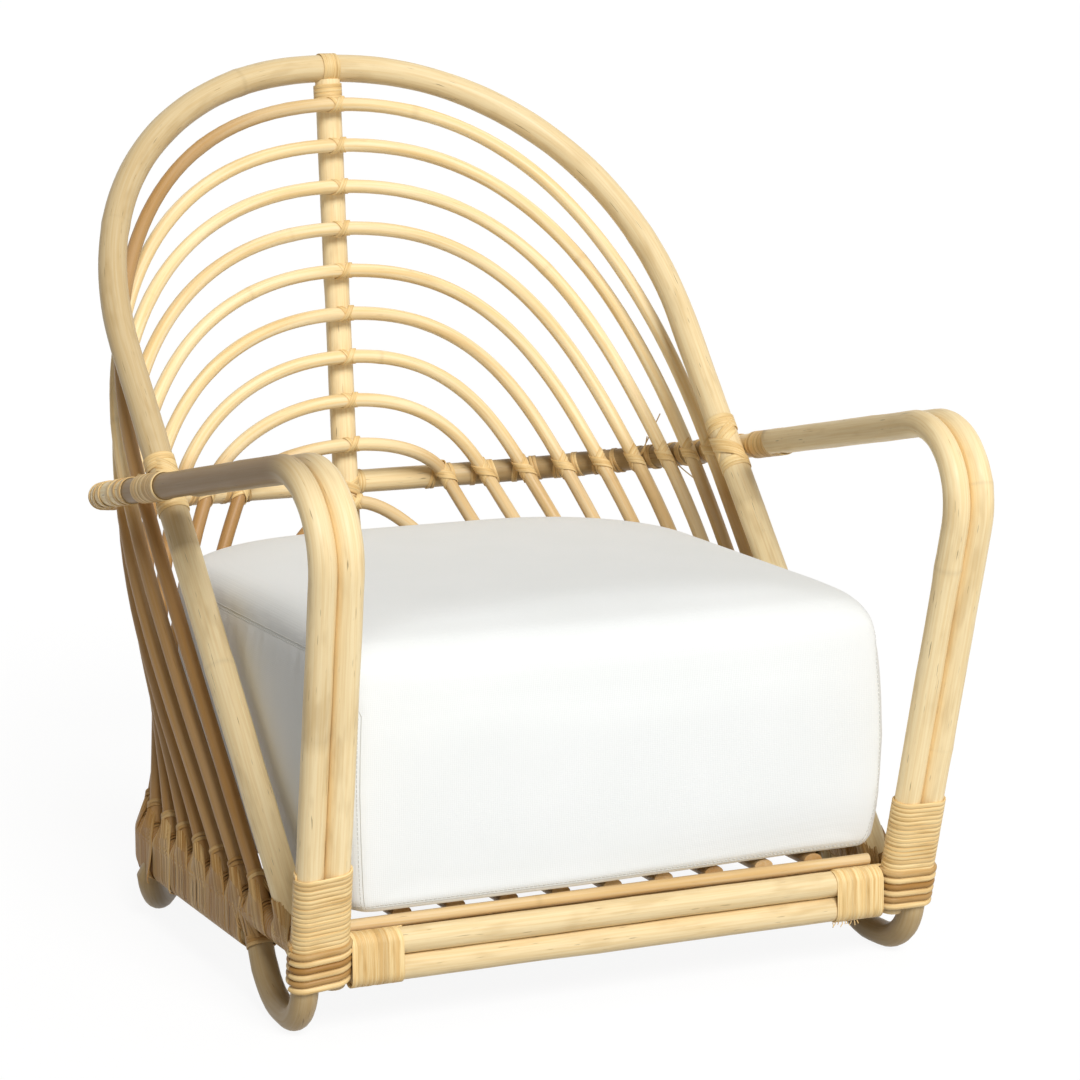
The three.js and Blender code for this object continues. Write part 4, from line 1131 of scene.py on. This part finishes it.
# Seat cushion: the sewn shape is blown up a little as cloth, held along its seams, then stitched
pad = Sizes(
    halfWidth=287, front=2, back=562, height=268, leftCrease=20, rightCrease=6, bulge=46, highCorner=30,
    backCorner=150, inset=2.5, voxel=7.2, pressure=4.0, frames=20, most=5.0, evening=60, hold=0.7,
    holdReach=6, calming=10, crownDepth=290, seamDrop=31, seamTurn=46, hem=5.4, groove=1.0, fold=2.0,
    tuck=9)
stitchSizes = Sizes(
    pitch=4.5, length=3.0, thread=0.32, besideSeam=3.0, seamWidth=0.9, seamThickness=0.7, seamRounding=0.25)
cushionBase = slatUnder + deckSizes.slatThickness + gap
cushionTop = cushionBase + pad.height
# Share of the height, then how far the side, the front and the back are drawn in
cushionRings = ((0, 11, 9, 14), (0.02, 4, 3, 6), (0.07, 1, 0, 2), (0.3, -2, -4, -6), (0.6, -4, -5, -12),
                (0.82, -4, -3, -14), (0.905, -1, 6, -10), (0.957, 7, 25, 0), (0.983, 26, 58, 20),
                (0.996, 72, 112, 66), (1.0, 150, 190, 140))


def smoothRings(steps=4):  # the listed rings with soft curves between them
    count = len(cushionRings)
    rings = []
    for i in range(count - 1):
        spots = [cushionRings[min(max(i + k, 0), count - 1)] for k in (-1, 0, 1, 2)]
        for step in range(steps):
            t = step / steps
            weights = (t * t * (2 - t) - t, t * t * (3 * t - 5) + 2, t * t * (4 - 3 * t) + t, t * t * (t - 1))
            rings.append([sum(w * spot[k] for w, spot in zip(weights, spots)) / 2 for k in range(4)])
    return rings + [cushionRings[-1]]


def spokesOf(count, sweep):
    angles = [sweep * k / count for k in range(count)]
    return [Vector((cos(angle), sin(angle), 0)) for angle in angles]


def cushionOutline(inset, share, side, front, back):
    half = pad.halfWidth - side - inset
    frontEdge = pad.front + front + inset
    backEdge = pad.back - back - inset
    backRound = min(pad.backCorner, half * 0.8)
    height = cushionBase + share * (pad.height - inset)

    def frontCorner(crease):  # a crease at the seam, then a bulge along the side; rounder towards the top
        soft = share ** 8
        high = min(pad.highCorner + 0.8 * max(front, 0), half * 0.9)
        start = Vector((half - mix(crease, high, soft), frontEdge, height))
        pull = Vector((half - mix(crease / 4, 0, soft), frontEdge + mix(10, 0, soft), height))
        end = Vector((half, frontEdge + mix(pad.bulge, high, soft), height))
        return bezier(start, start.lerp(pull, 2 / 3), end.lerp(pull, 2 / 3), end, 12)

    points = frontCorner(pad.rightCrease)
    for x, start in ((half - backRound, 0), (backRound - half, 90)):
        for k in range(13):
            angle = radians(start + 90 * k / 12)
            spoke = Vector((cos(angle), sin(angle), 0)) * backRound
            points.append(Vector((x, backEdge - backRound, height)) + spoke)
    return points + flip(frontCorner(pad.leftCrease), -1)[::-1]


def sewnShape(inset):
    work = bmesh.new()
    layers = [[work.verts.new(inFrame(p)) for p in cushionOutline(inset, *ring)] for ring in smoothRings()]
    count = len(layers[0])
    for lower, upper in zip(layers, layers[1:]):
        for i in range(count):
            work.faces.new((lower[i], lower[(i + 1) % count], upper[(i + 1) % count], upper[i]))
    work.faces.new(layers[0][::-1])
    crown = work.verts.new(inFrame(Vector((0, pad.crownDepth, cushionTop - inset + 0.5))))
    for i in range(count):
        work.faces.new((layers[-1][i], layers[-1][(i + 1) % count], crown))
    bmesh.ops.recalc_face_normals(work, faces=work.faces[:])
    mesh = bpy.data.meshes.new("cushion_cover")
    work.to_mesh(mesh)
    work.free()
    return mesh


def applyModifiers(piece):
    graph = bpy.context.evaluated_depsgraph_get()
    baked = bpy.data.meshes.new_from_object(piece.evaluated_get(graph))
    piece.modifiers.clear()
    piece.data = baked


def surfaceOf(mesh):
    return BVHTree.FromPolygons([v.co for v in mesh.vertices], [p.vertices[:] for p in mesh.polygons])


def sideSeamRays(side):  # up the front edge, over its corner, back along the side and half across the back
    corner = pad.rightCrease if side > 0 else pad.leftCrease
    half = pad.halfWidth
    turn = pad.seamTurn
    level = cushionTop - pad.seamDrop
    away = 60  # the rays start this far out
    step = 4
    rays = []
    for height in range(round(cushionBase + pad.hem), round(level - turn), step):
        rays.append((Vector((half - corner + away + 2, -away, height)), Vector((-1, 1, 0))))
    for k in range(1, 20):
        share = k / 20
        angle = share * pi / 2
        depth = (away + corner) * min(3 * share, 1) - away + turn * (1 - cos(angle))
        start = Vector((half - corner * (1 - share) + away + 2, depth, level - turn + turn * sin(angle)))
        rays.append((start, Vector((-1, max(1 - 3 * share, 0), 0))))
    rearStart = pad.back - pad.backCorner
    for depth in range(corner + turn, rearStart, step):
        rays.append((Vector((half + away, depth, level)), Vector((-1, 0, 0))))
    centre = Vector((half - pad.backCorner, rearStart, level))
    rays += [(centre + spoke * 300, -spoke) for spoke in spokesOf(60, pi / 2)]
    for x in range(round(centre.x), -1, -step):
        rays.append((Vector((x, pad.back + 100, level)), Vector((0, -1, 0))))
    return [(inFrame(start), onward.normalized()) for ray in rays for start, onward in [flip(ray, side)]]


def hemRays():
    middle = Vector((0, (pad.front + pad.back) / 2, cushionBase + pad.hem))
    return [(inFrame(middle + spoke * 600), -spoke) for spoke in spokesOf(480, 2 * pi)]


def castSeams(piece):
    surface = surfaceOf(piece.data)
    seams = []
    for rays in (sideSeamRays(1), sideSeamRays(-1), hemRays()):
        hits = [surface.ray_cast(start, onward)[:2] for start, onward in rays]
        seams.append([hit for hit in hits if hit[0] is not None])
    return seams


def seamTree(seams):
    spots = [place for seam in seams for place, normal in seam]
    tree = KDTree(len(spots))
    for index, spot in enumerate(spots):
        tree.insert(spot, index)
    tree.balance()
    return tree


def blownUp(cover):
    nearHeld = seamTree(castSeams(cover))
    before = [v.co.copy() for v in cover.data.vertices]
    held = cover.vertex_groups.new(name="seams")
    for vertex in cover.data.vertices:
        away = nearHeld.find(vertex.co)[2]
        held.add([vertex.index], pad.hold * exp(-(away / (pad.holdReach * mm)) ** 2), "REPLACE")
    cloth = cover.modifiers.new("swell", "CLOTH")
    cloth.settings.use_pressure = True
    cloth.settings.uniform_pressure_force = pad.pressure
    cloth.settings.effector_weights.gravity = 0
    cloth.settings.vertex_group_mass = "seams"
    cloth.settings.quality = 5
    cloth.point_cache.frame_start = 1
    cloth.point_cache.frame_end = pad.frames
    for step in range(1, pad.frames + 1):
        bpy.context.scene.frame_set(step)
    applyModifiers(cover)
    bpy.context.scene.frame_set(1)
    moves = [vertex.co - place for vertex, place in zip(cover.data.vertices, before)]
    print("cloth moved up to", round(max(move.length for move in moves) / mm, 1), "mm")
    ends = [edge.vertices[:] for edge in cover.data.edges]
    for _ in range(pad.evening):  # the swell stays and its wrinkles even out
        sums = [move.copy() for move in moves]
        counts = [1] * len(moves)
        for a, b in ends:
            sums[a] += moves[b]
            sums[b] += moves[a]
            counts[a] += 1
            counts[b] += 1
        moves = [total / count for total, count in zip(sums, counts)]
    most = pad.most * mm
    for vertex, place, move in zip(cover.data.vertices, before, moves):
        vertex.co = place + move * (most / (most + move.length))


cover = newObject("cushion_cover", sewnShape(pad.inset))
remesh = cover.modifiers.new("remesh", "REMESH")
remesh.mode = "VOXEL"
remesh.voxel_size = pad.voxel * mm
relax = cover.modifiers.new("relax", "SMOOTH")
relax.iterations = 2
applyModifiers(cover)
blownUp(cover)
cover.vertex_groups.clear()
finer = cover.modifiers.new("finer", "SUBSURF")
finer.levels = 1
finer.render_levels = 1
applyModifiers(cover)
sewn = surfaceOf(sewnShape(0))
for vertex in cover.data.vertices:  # the hem and the upright front edges keep their sewn shape
    place = Vector((vertex.co.x, vertex.co.y - frontDepth, vertex.co.z)) / mm
    low = 1 - clamp((place.z - cushionBase - 10) / 16)
    crease = pad.halfWidth - (pad.rightCrease if place.x > 0 else pad.leftCrease)
    fromEdge = hypot(abs(place.x) - crease, place.y - pad.front)
    upright = clamp((44 - fromEdge) / 32) * clamp((cushionTop - 60 - place.z) / 90)
    vertex.co = vertex.co.lerp(sewn.find_nearest(vertex.co)[0], max(low, upright))
topArea = cover.vertex_groups.new(name="top")
for vertex in cover.data.vertices:
    topArea.add([vertex.index], clamp((vertex.normal.z - 0.6) / 0.35), "REPLACE")
calm = cover.modifiers.new("calm", "SMOOTH")
calm.vertex_group = "top"
calm.iterations = pad.calming
applyModifiers(cover)
cover.vertex_groups.clear()
near = seamTree(castSeams(cover))
normals = [v.normal.copy() for v in cover.data.vertices]
for vertex, normal in zip(cover.data.vertices, normals):
    # Seams draw in, soft folds hang from them on the sides, and the foot is drawn in towards the right.
    away = near.find(vertex.co)[2] / mm
    place = vertex.co / mm
    fold = noise.noise(Vector((place.y / 16, place.z / 110, 3 + normal.x))) + noise.noise(place / 80) * 0.6
    clear = 1 - exp(-(away / 7) ** 2)
    drape = pad.fold * fold * max(abs(normal.x) - 0.7, 0) * 3.3 * exp(-away / 45) * clear
    vertex.co += normal * ((drape - pad.groove * exp(-(away / 4) ** 2)) * mm)
    vertex.co.z = max(vertex.co.z, cushionBase * mm)
    tuck = clamp((place.x + 40) / 240) * clamp((70 - place.z + cushionBase) / 70) ** 2
    tuck *= clamp((200 - place.y + frontDepth / mm) / 150)
    vertex.co += Vector((0, pad.tuck, pad.tuck * 0.2)) * (tuck * mm)
cover.data.polygons.foreach_set("use_smooth", [True] * len(cover.data.polygons))
cover.data.materials.clear()
cover.data.materials.append(cottonCanvas)
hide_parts("seat_cushion")
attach(cover, "cushion")
print("cushion made:", len(cover.data.polygons), "faces")

# Sewn lines: a thread in each groove and a row of stitches beside it
surface = surfaceOf(cover.data)


def sewnRun(spots, lift):
    return {"points": [p + n * (lift * mm) for p, n in spots], "outward": [n for p, n in spots], "tone": 0.0,
            "closed": False}


lines = []
rows = []
for seam in castSeams(cover):
    lines.append(sewnRun(seam, 0.1))
    beside = []
    for (spot, normal), along in zip(seam, tangentsOf([place for place, normal in seam])):
        aim = spot + normal.cross(along).normalized() * (stitchSizes.besideSeam * mm)
        beside.append(surface.find_nearest(aim)[:2])
    rows.append(sewnRun(beside, 0.15))
seamValues = {"Width": stitchSizes.seamWidth, "Thickness": stitchSizes.seamThickness,
              "Rounding": stitchSizes.seamRounding}
stitchValues = {"Pitch": stitchSizes.pitch, "Length": stitchSizes.length, "Thread": stitchSizes.thread}
for name, runs, grower, values in (("cushion_seams", lines, strandTree, seamValues),
                                   ("cushion_stitches", rows, stitchTree, stitchValues)):
    inMetres = {label: size * mm for label, size in values.items()}
    piece = grown(name, runMesh(name, runs), grower, {**inMetres, "Material": cottonThread})
    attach(piece, "cushion")
print("cushion sewn")

# Stage: a pale floor, soft light from the front, and the photograph's view
stage = bpy.context.scene
camera = newObject("camera", bpy.data.cameras.new("camera"))
camera.data.lens = 120
camera.data.sensor_width = 36
camera.location = (-1.479, frontDepth - 2.985, 1.047)
camera.rotation_euler = (radians(90 - 10.18), 0, radians(-25))
stage.camera = camera


def seenByEye(tree):  # one for what the camera sees, straight, in a mirror or through glass
    path = addNode(tree, "ShaderNodeLightPath").outputs
    seen = reckon(tree, "MAXIMUM", path["Is Camera Ray"], path["Is Glossy Ray"])
    return reckon(tree, "MAXIMUM", seen, path["Is Transmission Ray"])


floorReach = 40
floorDrop = -0.001
corners = [(x * floorReach, y * floorReach, floorDrop) for x, y in ((-1, -1), (1, -1), (1, 1), (-1, 1))]
floorMesh = bpy.data.meshes.new("floor")
floorMesh.from_pydata(corners, [], [(0, 1, 2, 3)])
floor = newObject("floor", floorMesh)
floorPaint, tree, surface = blankMaterial("matt white floor")
plug(tree, surface, {"Base Color": hexColour("#c4c4c4"), "Roughness": 0.9})
glow = made(tree, "ShaderNodeEmission", {"Strength": 1.14})
share = reckon(tree, "MULTIPLY", seenByEye(tree), 0.8)
blendIn = made(tree, "ShaderNodeMixShader", {0: share, 1: surface.outputs[0], 2: glow})
plug(tree, tree.nodes["Material Output"], {"Surface": blendIn})
floorPaint.cycles.emission_sampling = "NONE"  # the glow is for the eye and lights nothing
floorMesh.materials.append(floorPaint)

stage.world = bpy.data.worlds.new("studio")
stage.world.use_nodes = True
tree = stage.world.node_tree
tree.nodes.clear()
dim = made(tree, "ShaderNodeBackground", {"Color": hexColour("#f6f0e6"), "Strength": 0.2})
white = made(tree, "ShaderNodeBackground", {"Color": (1, 1, 1, 1), "Strength": 1.0})
pick = made(tree, "ShaderNodeMixShader", {0: seenByEye(tree), 1: dim, 2: white})
addNode(tree, "ShaderNodeOutputWorld", {"Surface": pick})

lamps = (("key", 2.6, 24, (0.05, 0.77, -0.63)), ("fill", 0.5, 110, (-0.55, 0.6, -0.58)))
for label, energy, spread, aim in lamps:
    lamp = newObject(label, bpy.data.lights.new(label, "SUN"))
    lamp.data.energy = energy
    lamp.data.angle = radians(spread)
    lamp.rotation_euler = Vector(aim).to_track_quat("-Z", "Y").to_euler()
stage.view_settings.view_transform = "Standard"
print("stage set")
